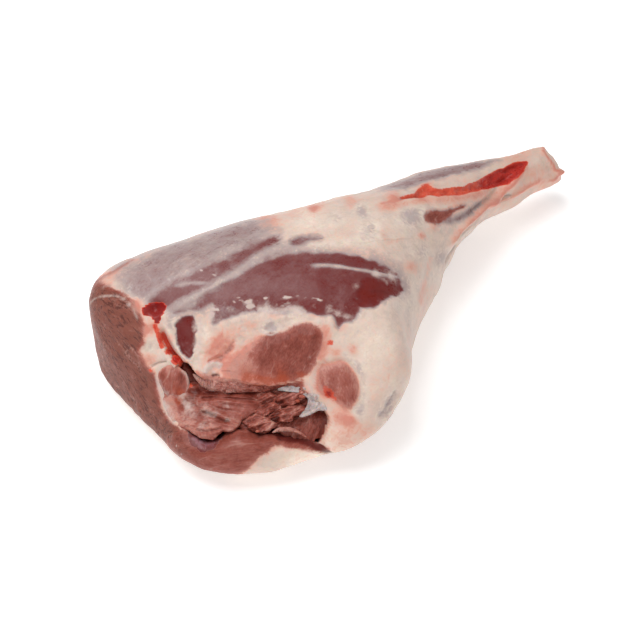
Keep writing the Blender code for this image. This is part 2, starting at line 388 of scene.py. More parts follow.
def skin_distance(start, way, furthest=200.0, stride=4.0):
    """How far along each ray the form's surface is: strides until outside, then halving the last one."""
    reach = np.full(start.shape[:-1], stride / 2)
    outside = np.zeros(reach.shape, bool)
    for _ in range(int(furthest / stride)):
        outside |= form(start + way * reach[..., None]) > 0
        reach = np.where(outside, reach, reach + stride)
        if outside.all():
            break
    near, far = reach - stride, reach
    for _ in range(13):
        middle = (near + far) / 2
        out = form(start + way * middle[..., None]) > 0
        near, far = np.where(out, near, middle), np.where(out, middle, far)
    return (near + far) / 2


def turns_round():
    """Angles round the leg from the far side over the top, twice as close on the side that is seen."""
    angle = np.linspace(0, 360, 721)
    density = 1 + ease(angle, SEEN_FROM - SEEN_BLEND, SEEN_FROM)
    density -= ease(angle, SEEN_TO, SEEN_TO + SEEN_BLEND)
    filled = np.concatenate(([0], np.cumsum((density[1:] + density[:-1]) / 2)))
    wanted = np.arange(ROUND_COLUMNS) / ROUND_COLUMNS * filled[-1]
    return np.radians(np.interp(wanted, filled, angle))


def leg_rays():
    """Starts and directions of the rays, one row after another: rump fan, bone, hock fan."""
    rump = np.linspace(0, np.pi / 2, RUMP_ROWS, endpoint=False)
    thigh = np.linspace(RUMP_FAN, THIGH_END, THIGH_ROWS, endpoint=False)
    shank = np.linspace(THIGH_END, HOCK_FAN, SHANK_ROWS, endpoint=False)
    hock = np.linspace(0, np.pi / 2, HOCK_ROWS)
    x = np.concatenate((np.full(RUMP_ROWS, RUMP_FAN), thigh, shank, np.full(HOCK_ROWS, HOCK_FAN)))
    level = np.zeros(THIGH_ROWS + SHANK_ROWS)
    lengthwise = np.concatenate((-np.cos(rump), level, np.sin(hock)))
    outward = np.concatenate((np.sin(rump), level + 1, np.cos(hock)))
    turn = turns_round()
    ones = np.ones(len(turn))
    start = np.stack((x, along_leg(x, MIDDLE_ACROSS), along_leg(x, MIDDLE_UP)), -1)[:, None] * ones[:, None]
    way = np.stack((lengthwise[:, None] * ones, outward[:, None] * np.cos(turn),
                    outward[:, None] * np.sin(turn)), -1)
    return start, way


def outward_normal(points, step=0.8):
    """The way that the form's surface faces: how its field grows along x, y and z."""
    slopes = [form(points + step * axis) - form(points - step * axis) for axis in np.eye(3)]
    return unit(np.stack(slopes, -1))


class Spots:
    """Points of a surface with what the drawing on the board needs: across, up, out, and facing."""

    def __init__(self, points, normal):
        """Measures the points on the board. `seen` is 0 where they face away from it."""
        self.p = points
        self.n = normal
        d = points - BOARD_MIDDLE
        self.a, self.b, self.o = d @ ACROSS, d @ UP, d @ OUT
        self.facing = normal @ OUT
        self.seen = ease(self.facing, 0.05, 0.30)

    def inside(self, outline, ragged=0.0, size=4.0, seed=1):
        """Millimetres inside an outline whose edge wanders by `ragged`."""
        depth = inside(outline, self.a, self.b)
        if ragged:
            depth = depth + ragged * rough(self.p, size, seed)
        return depth


# ---- Meshes ----


def add_object(name, data):
    """Adds an object with the given data to the scene."""
    added = bpy.data.objects.new(name, data)
    bpy.context.collection.objects.link(added)
    return added


def three(first, second, third, shape):
    """Three numbers for every point of a grid, side by side."""
    return np.stack([np.broadcast_to(part, shape) for part in (first, second, third)], -1)


def closed_mesh(name, rows, tissue):
    """A closed skin from a grid of rows round an axis. The first and last rows become single points."""
    count, columns = rows.shape[:2]
    ring = np.arange(columns)
    after = np.roll(ring, -1)
    points = np.vstack((rows[0].mean(0), rows[1:-1].reshape(-1, 3), rows[-1].mean(0)))
    first = 1 + np.arange(count - 3)[:, None] * columns
    quads = np.stack((first + ring, first + after, first + columns + after, first + columns + ring), -1)
    last = len(points) - 1
    fan = np.stack((np.zeros(columns, int), 1 + after, 1 + ring), -1)
    base = last - columns
    cap = np.stack((base + ring, base + after, np.full(columns, last)), -1)
    faces = fan.tolist() + quads.reshape(-1, 4).tolist() + cap.tolist()
    middle = points.mean(0)
    tri = points[quads.reshape(-1, 4)] - middle
    volume = np.einsum("ij,ij->", tri[:, 0], np.cross(tri[:, 1], tri[:, 2]))
    if volume < 0:
        faces = [face[::-1] for face in faces]
    mesh = bpy.data.meshes.new(name)
    mesh.from_pydata((points * MM + leg_place).tolist(), [], faces)
    mesh.polygons.foreach_set("use_smooth", np.ones(len(faces), bool))
    for label, grid in tissue.items():
        flat = np.vstack((grid[0].mean(0), grid[1:-1].reshape(-1, 3), grid[-1].mean(0)))
        mesh.attributes.new(label, "FLOAT_VECTOR", "POINT").data.foreach_set("vector", flat.ravel())
    mesh.update()
    return add_object(name, mesh)


def board_height():
    """A function that gives the form's height off the board at any across and up over the open end."""
    across, up = (np.arange(low, high + 1, BOARD_STEP) for low, high in (BOARD_ACROSS, BOARD_UP))
    a, b = np.meshgrid(across, up, indexing="ij")
    start = on_board(a, b, np.full(a.shape, -BOARD_BEHIND))
    height = skin_distance(start, np.broadcast_to(OUT, start.shape)) - BOARD_BEHIND

    def look_up(a, b):
        """The height between the four nearest points of the grid."""
        i = np.clip((a - across[0]) / BOARD_STEP, 0, len(across) - 1.001)
        j = np.clip((b - up[0]) / BOARD_STEP, 0, len(up) - 1.001)
        m, n = i.astype(int), j.astype(int)
        s, t = i - m, j - n
        return (
            height[m, n] * (1 - s) * (1 - t)
            + height[m + 1, n] * s * (1 - t)
            + height[m, n + 1] * (1 - s) * t
            + height[m + 1, n + 1] * s * t
        )

    return look_up


# ---- The leg's relief and tissues ----

# Warm spots on the fat: across, up, radius, and strength of blush. Less than 0 is cool and grey.
BLUSHES = (
    (99, 134, 5, 1.2), (122, 142, 5, 1.2), (118, 134, 4, 0.9), (117, 108, 4, 0.5), (125, 113, 3, 0.6),
    (109, 86, 4, 0.8), (91, 107, 4, 0.5), (14, 119, 8, 1), (45, 126, 3, 1.4), (-30, 109, 5, 0.7),
    (31, 124, 6, 0.6), (48, 130, 10, 0.6), (70, 130, 5, 0.7), (-69, 60, 4, 1.6), (-62, 45, 3, 1),
    (-60, 26, 4, 1), (-57, 47, 5, 1), (-47, 40, 3, 0.8), (-38, 22, 4, 0.7), (60, 31, 4, 0.9),
    (70, 32, 4, 1), (62, -10, 5, 1), (69, -12, 5, 1.2), (64, -24, 10, 0.55), (78, -18, 8, 0.35),
    (-4, 44, 6, 0.4), (6, 47, 4, 0.5), (-14, 36, 7, 1), (22, 50, 6, 0.3), (-8, 22, 8, 1), (-18, 28, 6, 0.6),
    (-22, 19, 5, 0.6), (-66, 96, 7, 0.4), (-88, 79, 6, 0.6), (130, 60, 9, 0.3), (112, 66, 6, 0.3),
    (100, 20, 20, 0.12), (62, 48, 4, 0.8), (46, 56, 4, 0.7), (40, 4, 4, 0.6), (52, 4, 3, 1),
    (18, 46, 4.2, -2.2), (30, 57, 5, -0.6), (-24, 44, 4, -0.6), (-28, 58, 4, -0.5), (-72, 70, 6, -0.6),
    (60, 118, 5, -0.6), (78, 122, 4, -0.9), (82, 111, 6, -0.9), (109, 120, 7, -0.8), (76, 125, 4, -0.6),
    # The grey spots at (96, 0) and (91, -7) near the right flank's edge are partly painted shade.
    (114, 122, 6, -0.6), (122, 80, 6, -0.6), (106, 64, 9, -0.6), (96, 0, 5, -0.8), (91, -7, 6, -0.9),
    (100, 10, 7, -0.5), (-60, 34, 3, -0.7), (118, 96, 6, -0.6), (133, 92, 6, -0.7), (148, 112, 4, -0.6),
    (66, 30, 2.5, -0.6), (66, 60, 6, -0.4), (106, 96, 8, -0.3), (74, -8, 4, -0.8),
)
# Spots of more cover, paler fat, and less than 0 greyer: across, up, radius, and how much more cover.
COVER_SPOTS = (
    (40, -38, 14, 0.3), (62, -30, 14, 0.22), (44, 116, 16, 0.2), (80, 112, 14, 0.12), (84, 34, 14, 0.14),
    (88, 14, 12, 0.08), (-20, 20, 4, 0.15), (131, 93, 5, -0.22), (-34, 44, 5, 0.1), (-22, 40, 5, 0.12),
    (47, 60, 5, -0.14), (56, 57, 4, -0.1), (67, 50, 5, 0.12),
)
# Warm and cool lines: the line, how wide it is, and its strength.
BLUSH_LINES = (
    (HEEL_TENDON, 2.4, 1.1), (SECOND_TENDON, 1.6, 0.9), (PEACH_BAND, 3.2, 0.8), (HOCK_RIM, 0.9, 1.4),
    (((89, 108), (92, 104), (100, 103), (105, 107)), 1.6, 0.3),
    (((115, 109), (118, 107), (121, 107)), 1.2, 0.6),
    (((88, 128), (99, 131), (108, 134), (117, 137)), 1.2, 0.9),
    # Cool grey along the flank's fold: painted shade in the fold.
    (((86, -13), (92, -6), (97, 1), (99, 9)), 3.2, -0.45),
    (((52, 50), (54, 41), (52, 32), (49, 25)), 2.8, 1.2),
    (((-2, 52), (8, 49), (20, 54), (34, 54)), 2.2, 0.3), (FAT_STREAK, 2.5, -0.6), (HIGH_STREAK, 2.5, -0.5),
    (((-12, 44), (-18, 36), (-22, 28)), 2, 0.5),
    (((66, 26), (73, 23), (76, 16), (77, 7), (76, -3), (71, -9)), 3, -0.8),
    (((196, 161), (206, 166)), 3, -0.4), (((172, 137), (178, 139), (185, 140)), 1.6, -0.6),
    (CURL_GROOVE, 1.3, 1.8), (((-46, 44), (-46, 52), (-42, 58)), 2.4, -0.8),
    (((113, 60), (120, 80), (124, 96)), 2.6, 0.6), (((-30, 20), (-26, 15), (-18, 13), (-6, 12)), 1.6, 1.2),
)
# Fresh blood: across, up, radius, strength.
BLOOD = (
    (-43, 25, 3, 1), (56, 37, 2.6, 0.75), (55, 5, 3.2, 1), (52, 9, 3, 0.5), (59, 1, 2.5, 0.4),
    (69, -11, 2.6, 0.38), (-59, 19, 1.8, 0.7), (-48, 31, 2, 0.8), (45, 128, 1.5, 0.5), (-62, 48, 2, 0.35),
    (-38, 20, 2, 0.8), (-68, 50, 3, 0.3), (27, 8, 2.4, 0.35), (42, 8, 2, 0.35), (54, 33, 2, 0.3),
)
# Milky film over whatever lies under it: across, up, radius, strength.
MILK = (
    (5, 60, 4, 0.4), (-8, 58, 3, 0.3), (28, 64, 3.5, 0.5), (36, 59, 4, 0.5), (56, 60, 3, 0.4),
    (22, 104, 5, 0.8), (86, 82, 4, 0.7), (95, 79, 5, 0.9), (72, 73, 2.4, 0.7), (104, 66, 5, 0.7),
    (46, 60, 3, 0.35), (16, 62, 3, 0.4), (-86, 76, 6, 0.7), (-72, 70, 5, 0.6), (-22, 19, 4, 0.9),
    (-30, 48, 3, 0.6), (-28, 36, 3, 0.5), (-28, 24, 3, 0.4), (50, 12, 2, 0.3), (44, 28, 3, 0.3),
    (-2, 57, 3, 0.3), (-20, 55, 2, 0.7),
)
# Milky lines: the line, how wide it is, and its strength.
MILK_LINES = (
    (((-18, 62), (-20, 56), (-20, 50)), 2.2, 0.6),
    (((-27, 54), (-28, 47), (-28, 38), (-29, 30)), 3.5, 0.55),
    (((-24, 17), (-23, 20), (-20, 23), (-16, 23), (-13, 21)), 2, 1.3),
    (((8, 58), (14, 58), (19, 57), (29, 58), (36, 58), (41, 56)), 2.4, 0.75),
    (((9, 48), (12, 50), (18, 51), (23, 49), (22, 44), (18, 42), (12, 44), (9, 48)), 0.9, 0.7),
    (((52, 55), (58, 57), (66, 54), (72, 53)), 2.2, 0.4), (CREAM_RIM, 1.2, 0.8), (SAWN_RIM, 1, 0.6),
    (((47, 22), (46, 16), (46, 10)), 1.6, 0.5),
)
# White flecks of torn membrane, and painted glints along the main muscle's lower edge, broken up at random:
# the line, how wide it is, and its strength.
FLECKS_AND_GLINTS = (
    (((-20, 59), (-15, 58), (-8, 60)), 0.9, 1.3),
    (((-6, 62), (-4, 64), (-1, 65), (3, 63), (7, 64)), 1.1, 1.5), (((1, 59), (4, 60), (8, 60)), 1.3, 1.6),
    (((9, 64), (14, 65), (17, 65)), 0.9, 1.2), (((25, 66), (31, 66), (36, 66), (41, 65)), 0.9, 1.6),
    (((43, 65), (49, 64), (53, 63), (60, 61)), 0.8, 1.4), (((60, 62), (68, 58)), 0.8, 0.8),
    (((-44, -21), (-42, -28), (-37, -35)), 1.6, 0.9), (((14, 61), (26, 61), (36, 62)), 1.2, 0.7),
    (((-28, 84), (-22, 83), (-16, 80)), 1, 1.4), (((-31, 66), (-20, 72), (-10, 78)), 0.9, 0.6),
)
# Dried, orange-brown edges of the cut meat: across, up, radius, strength.
RUST = (
    (10, 12, 4, 1.5), (17, 11, 4, 1.6), (26, 12, 4, 1.2), (4, 13, 4, 0.9), (24, 22, 7, 0.3),
    (0, 20, 5, 0.4), (38, 16, 4, 0.8), (60, 1, 7, 0.45), (8, 18, 8, 0.3), (26, 16, 7, 0.3), (2, 14, 4, 0.5),
    (30, 46, 4, 0.3), (42, 10, 4, 0.7),
)
# Painted shade in small hollows: across, up, radius, strength.
PAINTED_HOLLOW_SHADE = (
    (-19, 16, 1.1, 0.8), (-17, 16.3, 1.2, 0.9), (-15, 16, 1, 0.6), (55, 4, 2, 0.55), (-62, 32, 1.6, 0.4),
    (19, 46, 1.4, 0.25),
)
# Painted shade along creases: the line, how wide it is, and its strength.
PAINTED_CREASE_SHADE = (
    (CREASE, 1.7, 1.2), (HEEL_CREASE, 0.9, 0.5), (SLIT_CREASE, 0.9, 0.5), (((64, 39), (69, 38)), 0.6, 0.22),
    (((75, 40), (80, 39)), 0.6, 0.22), (POCKET_CREASE, 0.9, 0.9), (FACE_CREASE, 0.8, 0.6),
    (((84, 104), (98, 106), (112, 107)), 0.6, 0.15), (((-42, -19), (-52, -20), (-60, -22)), 0.8, 0.4),
    (FLANK_FOLD, 0.8, 0.45), (((92, -10), (96, -4)), 0.7, 0.35), (((93, 0), (96, 6)), 0.6, 0.3),
    (((-14, 19), (-10, 19), (-7, 19)), 0.5, 0.5), (((-8, 14), (-2, 13), (5, 11), (12, 11)), 0.8, 0.5),
    (TENDON_LOOP, 0.6, 0.45), (((78, 111), (84, 111), (89, 109)), 1, 0.22),
    (((80, 69), (88, 70), (95, 68)), 0.9, 0.45),
    (((69, 101), (80, 102), (90, 103), (101, 104), (112, 105)), 0.5, 0.3),
)
# Ridges and, less than 0, grooves: the line, how wide it is, and how many millimetres high.
RIDGES = (
    (HEEL_TENDON, 2.3, 3.6), (SECOND_TENDON, 1.8, 1.6), (TENDON_LOOP, 0.9, -0.9),
    (((143, 107), (152, 115), (160, 123), (168, 130)), 1.6, -1.6),
    (((150, 121), (158, 129), (166, 136), (175, 145), (183, 152)), 1.8, -1.6), (PEACH_BAND, 3, 1),
    (FAT_STREAK, 3, 0.5), (HIGH_STREAK, 3, 0.5),
    (((-24, 17), (-23, 20), (-20, 23), (-16, 24), (-13, 22)), 2, 1.6), (CURL_GROOVE, 1.4, -1.2),
    (HOCK_RIM, 1.2, 1), (((212, 163), (215, 158), (214, 154)), 2.5, -1),
    (((69, 102), (77, 102), (86, 102)), 0.8, -0.5), (HEEL_CREASE, 1.2, -1.2), (SLIT_CREASE, 1, -0.8),
    (((79, 112), (88, 107), (94, 104), (111, 106)), 1.6, 0.6), (FLANK_FOLD, 2, -1.4),
    (((91, -13), (97, -5), (102, 4)), 2.5, 1), (POCKET_CREASE, 1.2, -1.8), (FACE_CREASE, 1.2, -1.2),
    (((36, 101), (60, 104), (86, 108)), 2, 0.5),
)
# Nubs and hollows, moved along the normal: across, up, radius, millimetres.
NUBS = (
    (209, 173, 2.5, 1.6), (222, 158, 2, 3.4), (216, 162, 4, -1.4), (99, 134, 4, 0.6), (122, 142, 4, 0.8),
    (117, 108, 3, 0.5), (125, 113, 3, 0.5), (82, 111, 5, -0.7), (-59, 19, 2, 1.2), (18, 47, 3, -2.2),
    (-18.5, 16, 1.5, -1.8), (-16, 16.2, 1.4, -1.6), (56, 37, 3, -0.8), (-60, 34, 3, -1.2),
    (69, -12, 4, 0.8),
)
# Where the outline bulges to the right: across, up, radius, millimetres. Less than 0 is to the left.
EDGE_NUDGES = ((154, 104, 13, -9), (142, 86, 12, -5), (168, 118, 10, -4), (204, 142, 12, -5))
# The same, but all over and not only along the outline.
NUDGES = ((-104, 62, 18, -3.2), (-90, 4, 20, 3.6), (102, -4, 16, -3))


def bell(spots, across, up, radius):
    """A round bell on the board, 1 at its middle."""
    return hump(np.hypot(spots.a - across, spots.b - up), radius)


def spread(spots, humps):
    """The sum of round bells on the board, each given as across, up, radius and strength."""
    total = np.zeros(spots.a.shape)
    for *place, strength in humps:
        total += strength * bell(spots, *place)
    return total


def fade_ends(place, start=0.0):
    """1 along a line and falling smoothly over the first and the last eighth of it."""
    return ease(place, start, 0.12) * ease(1 - place, start, 0.12)


def lines(spots, strokes):
    """The sum of bells along lines, each given as line, width and strength, fading at its ends."""
    total = np.zeros(spots.a.shape)
    for line, width, strength in strokes:
        gap, place = from_line(line, spots.a, spots.b)
        total += strength * hump(gap, width) * fade_ends(place, -0.02)
    return total


def layer(below, depth, value, edge):
    """Puts a value over another inside an outline, changing over `edge` millimetres at its rim."""
    return below + (value - below) * ease(depth, -edge / 2, edge / 2)


# How thick the covering is over each area: 0 bare meat, 0.6 milky membrane, 1 and more fat.
FAT_COVER = 1.04
THIGH_COVER = 0.74
TOP_BAND_COVER = 0.62
MIDDLE_BAND_COVER = 0.45
MUSCLE_COVER = 0.42
DARK_PATCH_COVER = 0.40
DARK_MUSCLE_COVER = 0.16
BARE_COVER = 0.08
SHANK_COVER = 0.54
SHANK_GREY_COVER = 0.60
SPOT_COVER = 0.35
FLAP_COVER = 0.30
# Streaks of fat in the film: the line, its cover, and how wide it is.
STREAKS = (
    (FAT_STREAK, 0.6, 3), (FAT_STREAK, 0.8, 1.2), (HIGH_STREAK, 0.66, 2.8), (THIN_STREAK, 0.68, 1.5),
    (SEAM_STREAK, 0.84, 1.7),
)
# Where the fat at the open end is torn into small crests: across, up, radius, strength.
TORN_FAT = (
    (-58, 40, 14, 1), (-12, 28, 16, 0.8), (4, 46, 14, 0.7), (30, 54, 14, 0.6), (50, 26, 10, 0.7),
    (-34, 26, 10, 0.8), (66, -12, 8, 0.5), (-64, 56, 8, 0.7),
)
# How far things stand out of the form or lie in it, in millimetres.
SLAB_RISE = 3.2
TOP_MUSCLE_RISE = 2.6
ROUND_MUSCLE_RISE = 2.2
ROUND_MUSCLE_GROOVE = 1.2
UNDER_LIP_DROP = 3.0
RED_HOLE = (56, 6, 2.6)
RED_HOLE_DEPTH = 3.5
SMALL_MUSCLE_DEPTH = 1.6
SAWN_DEPTH = 1.5
SAWN_EDGE_RISE = 0.9
PIT_EDGE_DROP = 2.0
FLAP_SWELL = 2.2
DARK_MUSCLE_DEPTH = 1.5
BARE_DEPTH = 1.2
CLEFT_DEPTH = 6.5
CLEFT_BANK = 1.4
POOL = (-56, 58, 3.6)
POOL_DEPTH = 4.0
PIT_DEPTH = 17
PIT_UNDERCUT_ABOVE = 5.0
PIT_UNDERCUT_BELOW = 4.0
SLIT_DEPTH = 2.0
CREASE_DEPTH = 2.0
# Where the sawn texture runs on over the flap's corner: across, up, radius.
FLAP_CORNER = (-41, -29, 9)
# Cut meat is measured in millimetres inside its outline. This much takes it away for good.
NO_CUT = -14


class Body:
    """The leg's skin: where each point of it lies, and what tissue shows there."""

    def __init__(self):
        """Finds the form's surface and how far each point is inside each outline."""
        start, way = leg_rays()
        points = start + way * skin_distance(start, way)[..., None]
        self.spots = spots = Spots(points, outward_normal(points))
        self.pit = spots.inside(PIT, 0.7, 4.0, 11)
        self.top_muscle = spots.inside(TOP_MUSCLE, 0.6, 5.0, 12)
        self.round_muscle = spots.inside(ROUND_MUSCLE, 0.5, 4.0, 13)
        self.small_muscle = spots.inside(SMALL_MUSCLE, 1.5, 4.0, 14)
        self.sawn_face = spots.inside(SAWN_FACE, 0.8, 5.0, 15)
        self.flap_meat = spots.inside(FLAP_MEAT, 1.0, 5.0, 16)
        self.flap_purple = spots.inside(FLAP_PURPLE, 1.5, 4.0, 46)
        self.main_muscle = spots.inside(MAIN_MUSCLE, 1.6, 7.0, 17)
        self.dark_muscle = spots.inside(DARK_MUSCLE, 1.2, 4.0, 18)
        self.bare_muscle = spots.inside(BARE_MUSCLE, 1.8, 4.0, 19)
        self.cleft, self.cleft_place = from_line(BLOODY_CLEFT, spots.a, spots.b)
        self.slit = spots.inside(SHANK_SLIT, 0.8, 5.0, 20)
        self.maroon = spots.inside(MAROON_STRIP, 0.6, 4.0, 47)
        self.spot = spots.inside(SHANK_SPOT, 0.8, 4, 27)
        self.under_lip = self.strip_under_lip()
        self.cover = self.covering()

    def strip_under_lip(self):
        """1 on the torn strip between the top muscle's lower edge and the pit."""
        s = self.spots
        below = ease(-self.top_muscle, -0.5, 2.0) * ease(self.pit, -9, -5)
        return below * ease(s.a, -32, -22) * ease(-s.a, -44, -34) * ease(-s.b, -20, -12)

    def covering(self):
        """How thick the skin over the muscle is: 0 bare meat, 0.6 milky membrane, 1 and more fat."""
        s = self.spots
        wander = rough(s.p, 16, 21, 3)
        muscle = MUSCLE_COVER - 0.0016 * s.a + 0.07 * wander
        muscle += 0.08 * ease(-s.b, -66, -56) * ease(-s.a, -60, -20)
        cover = FAT_COVER + 0.05 * wander
        for depth, value, edge in (
            (s.inside(THIGH_SKIN, 2.2, 10, 21), THIGH_COVER + 0.07 * wander, 7),
            (s.inside(TOP_BAND, 2.0, 9, 22), TOP_BAND_COVER + 0.06 * wander, 10),
            (s.inside(MIDDLE_BAND, 1.5, 8, 23), MIDDLE_BAND_COVER + 0.05 * wander, 6),
            (self.main_muscle, muscle, 3.5),
            (s.inside(DARK_PATCH, 1.0, 4, 24), DARK_PATCH_COVER, 4),
            (self.dark_muscle, DARK_MUSCLE_COVER + 0.06 * wander, 2.5),
            (self.bare_muscle, BARE_COVER + 0.10 * rough(s.p, 4, 52, 3), 2.5),
            (s.inside(SHANK_MUSCLE, 1.0, 6, 25), SHANK_COVER + 0.06 * wander, 6),
            (s.inside(SHANK_GREY, 0.8, 5, 26), SHANK_GREY_COVER, 5),
            (self.spot, SPOT_COVER, 5),
        ):
            cover = layer(cover, depth, value, edge)
        for line, thick, width in STREAKS:
            gap, place = from_line(line, s.a, s.b)
            width = width * (1 + 0.45 * value_noise(s.p, 8, 28))
            ends = ease(place, 0, 0.15) * (0.6 + 0.4 * ease(1 - place, 0, 0.3))
            cover += np.maximum(thick - cover, 0) * hump(gap, width) * ends
        cover = layer(cover, self.flap_purple + 2, FLAP_COVER + 0.06 * wander, 5)
        cover += spread(s, COVER_SPOTS)
        hidden = 1.0 + 0.16 * rough(s.p, 34, 29, 3) - 0.10 * ease(s.n[..., 1], 0.3, 0.9)
        return hidden + (cover - hidden) * s.seen

    def relief(self):
        """How far each point moves off the form along the board's out and up, and along its normal."""
        s = self.spots
        a, b = s.a, s.b
        above_lip = ease(b + 0.12 * a, 2, 12)
        near_pit = hump(np.minimum(self.pit, 0), 17)
        out = SLAB_RISE * near_pit * above_lip * ease(a, -48, -34) * ease(-a, -62, -46)
        out += TOP_MUSCLE_RISE * ease(self.top_muscle, -2, 9)
        out -= UNDER_LIP_DROP * self.under_lip * ease(self.pit, -6.5, 0)
        out += ROUND_MUSCLE_RISE * ease(self.round_muscle, -0.5, 5)
        out -= ROUND_MUSCLE_GROOVE * hump(self.round_muscle + 1.2, 1.3)
        out -= RED_HOLE_DEPTH * bell(s, *RED_HOLE)
        out -= SMALL_MUSCLE_DEPTH * ease(self.small_muscle, -2, 4)
        out -= SAWN_DEPTH * ease(self.sawn_face, 0, 10) * ease(a, -110, -60)
        out += SAWN_EDGE_RISE * hump(self.sawn_face, 1.8)
        below_pit = ease(-b, 14, 22)
        out -= PIT_EDGE_DROP * below_pit * hump(np.minimum(self.pit, 0), 2.0)
        out += FLAP_SWELL * below_pit * hump(self.pit + 9, 6)
        out -= DARK_MUSCLE_DEPTH * ease(self.dark_muscle, -1.5, 3)
        out -= BARE_DEPTH * ease(self.bare_muscle, -2, 3)
        out -= CLEFT_DEPTH * hump(self.cleft, 1.9) * ease(self.cleft_place, 0.02, 0.2)
        out += CLEFT_BANK * hump(self.cleft - 4, 2.2)
        out -= POOL_DEPTH * bell(s, *POOL)
        torn = np.clip(spread(s, TORN_FAT), 0, 1)
        torn *= (1 - ease(self.top_muscle, -1, 3)) * (1 - ease(self.sawn_face, -1, 2))
        out += torn * (1.1 * creased(s.p, 8, 33, 3) - 0.7)
        pit = ease(self.pit, -0.4, 2.2)
        out = out * (1 - pit) - PIT_DEPTH * pit
        wall = ease(self.pit, 0.3, 2.5)
        slide = wall * (PIT_UNDERCUT_ABOVE * ease(b, -12, 4) - PIT_UNDERCUT_BELOW * below_pit)
        thick = 1.3 * np.clip(self.cover - 0.75, -0.4, 0.4)
        swell = thick + 0.8 * rough(s.p, 22, 31, 3) * ease(self.cover, 0.4, 1.0)
        swell += 0.28 * rough(s.p, 5, 32, 3) * ease(self.cover, 0.8, 1.0)
        swell += 1.2 * ease(self.main_muscle, 0, 14) * s.seen
        swell -= (SLIT_DEPTH - 1.2 * rough(s.p, 6, 49, 3)) * ease(self.slit, -1.0, 2.0) * s.seen
        swell -= CREASE_DEPTH * lines(s, ((CREASE, 1.4, 1.0),)) * s.seen
        swell += (lines(s, RIDGES) + spread(s, NUBS)) * s.seen
        return out * s.seen, slide * s.seen, swell

    def tissue(self):
        """The three numbers that pick the skin's colour: covering, cut meat in millimetres, and blood."""
        s = self.spots
        pale_left = 0.22 + 0.78 * ease(s.a + 0.5 * s.b, 20, 46)
        top = self.top_muscle * np.where(self.top_muscle > 0, pale_left, 1)
        cut = np.maximum.reduce((
            top, self.round_muscle, self.sawn_face, self.flap_meat, self.pit, self.small_muscle - 2,
            4 * self.under_lip - 2, self.maroon + 0.5, self.spot,
        ))
        cut = np.where(s.facing > 0, cut, NO_CUT)
        rump_back = s.n @ unit(np.array(CUTS[1][1]))
        cut = np.maximum(cut, 45 * (rump_back - 0.80) + NO_CUT * (s.p[..., 0] > -110))
        cut = np.maximum(cut, 0.9 - from_line(TOP_EDGE, s.a, s.b)[0] - 20 * (s.facing < 0))
        cut = cut - 20 * ease(self.flap_purple, -2, 3)
        blood = spread(s, BLOOD) + 1.7 * ease(s.inside(BLOOD_POOL, 1.0, 4, 45), -0.3, 0.2)
        blood += lines(s, ((RED_STREAK, 1.8, 0.85),))
        blood += 0.9 * hump(self.cleft, 1.6) * ease(self.cleft_place, 0.05, 0.2)
        blood += (0.66 + 0.55 * ease(s.a, 148, 178)) * ease(self.slit, -1.9, 0.1)
        return np.stack((self.cover, cut, blood * s.seen), -1)

    def tint(self):
        """Three soft tints: warm or cool, painted shade in the pit, the cleft, the hollows and the creases,
        and gristle.
        """
        s = self.spots
        blush = spread(s, BLUSHES) * s.seen
        blush += lines(s, BLUSH_LINES) * s.seen
        hock = ease(s.p[..., 0], 120, 168)
        blush += 0.42 * hock * (1 - ease(s.inside(SHANK_MUSCLE), -3, 1) * s.seen)
        blush += 0.12 + 0.22 * rough(s.p, 26, 41, 3)
        # Painted shade: darker in the pit, along the cleft, on the strip under the lip, in the small hollows
        # and along the creases.
        painted_shade = ease(self.pit, 0.4, 2.8) + 0.75 * hump(self.cleft, 1.2) * ease(self.cleft_place, 0.15, 0.5)
        painted_shade += 0.30 * self.under_lip * ease(self.pit, -4, 0) + spread(s, PAINTED_HOLLOW_SHADE)
        painted_shade += lines(s, PAINTED_CREASE_SHADE)
        edge = hump(self.top_muscle, 3.5) * ease(-s.a, -36, 0) + 0.6 * hump(self.round_muscle, 2.5)
        blush += 0.9 * edge * s.seen
        blush += 1.1 * ease(self.top_muscle, -2, 2) * ease(18 - s.a - 0.4 * s.b, -8, 12)
        # Cooler on the sawn face; the strip under the lip is darkened too, as painted shade.
        blush -= 0.25 * ease(self.sawn_face, -1, 2) + 0.2 * self.under_lip
        blush += 0.75 * ease(self.round_muscle, -2, 3) * ease(s.b, 0, 8) + 0.1 * ease(self.maroon, 0, 2)
        blush -= 0.35 * ease(self.spot, -1, 1)
        lilac = 0.62 * ease(self.flap_purple + 1.5 * rough(s.p, 5, 50, 3), -1, 3)
        return np.stack((blush, painted_shade * s.seen, lilac * s.seen), -1)

    def film(self):
        """What lies over the tissue: orange-brown drying, milky film with painted glints, and the slits of
        sawn meat.
        """
        s = self.spots
        milk_and_sheen = spread(s, MILK) * (0.7 + 0.9 * rough(s.p, 5, 43, 3)) + lines(s, MILK_LINES)
        milk_and_sheen += lines(s, FLECKS_AND_GLINTS) * ease(rough(s.p, 3.2, 51, 3), -0.1, 0.5)
        # Painted glints: white specks along the main muscle's lower edge.
        low_edge = hump(self.main_muscle - 3, 5) * ease(-s.b, -74, -60)
        milk_and_sheen += 0.30 * ease(rough(s.p, 4, 44, 3), 0.3, 0.9) * low_edge
        slits = ease(self.sawn_face, 0.5, 4) + 0.5 * bell(s, *FLAP_CORNER) * ease(self.flap_meat, 0, 3)
        return np.stack((spread(s, RUST), milk_and_sheen, slits), -1) * s.seen[..., None]

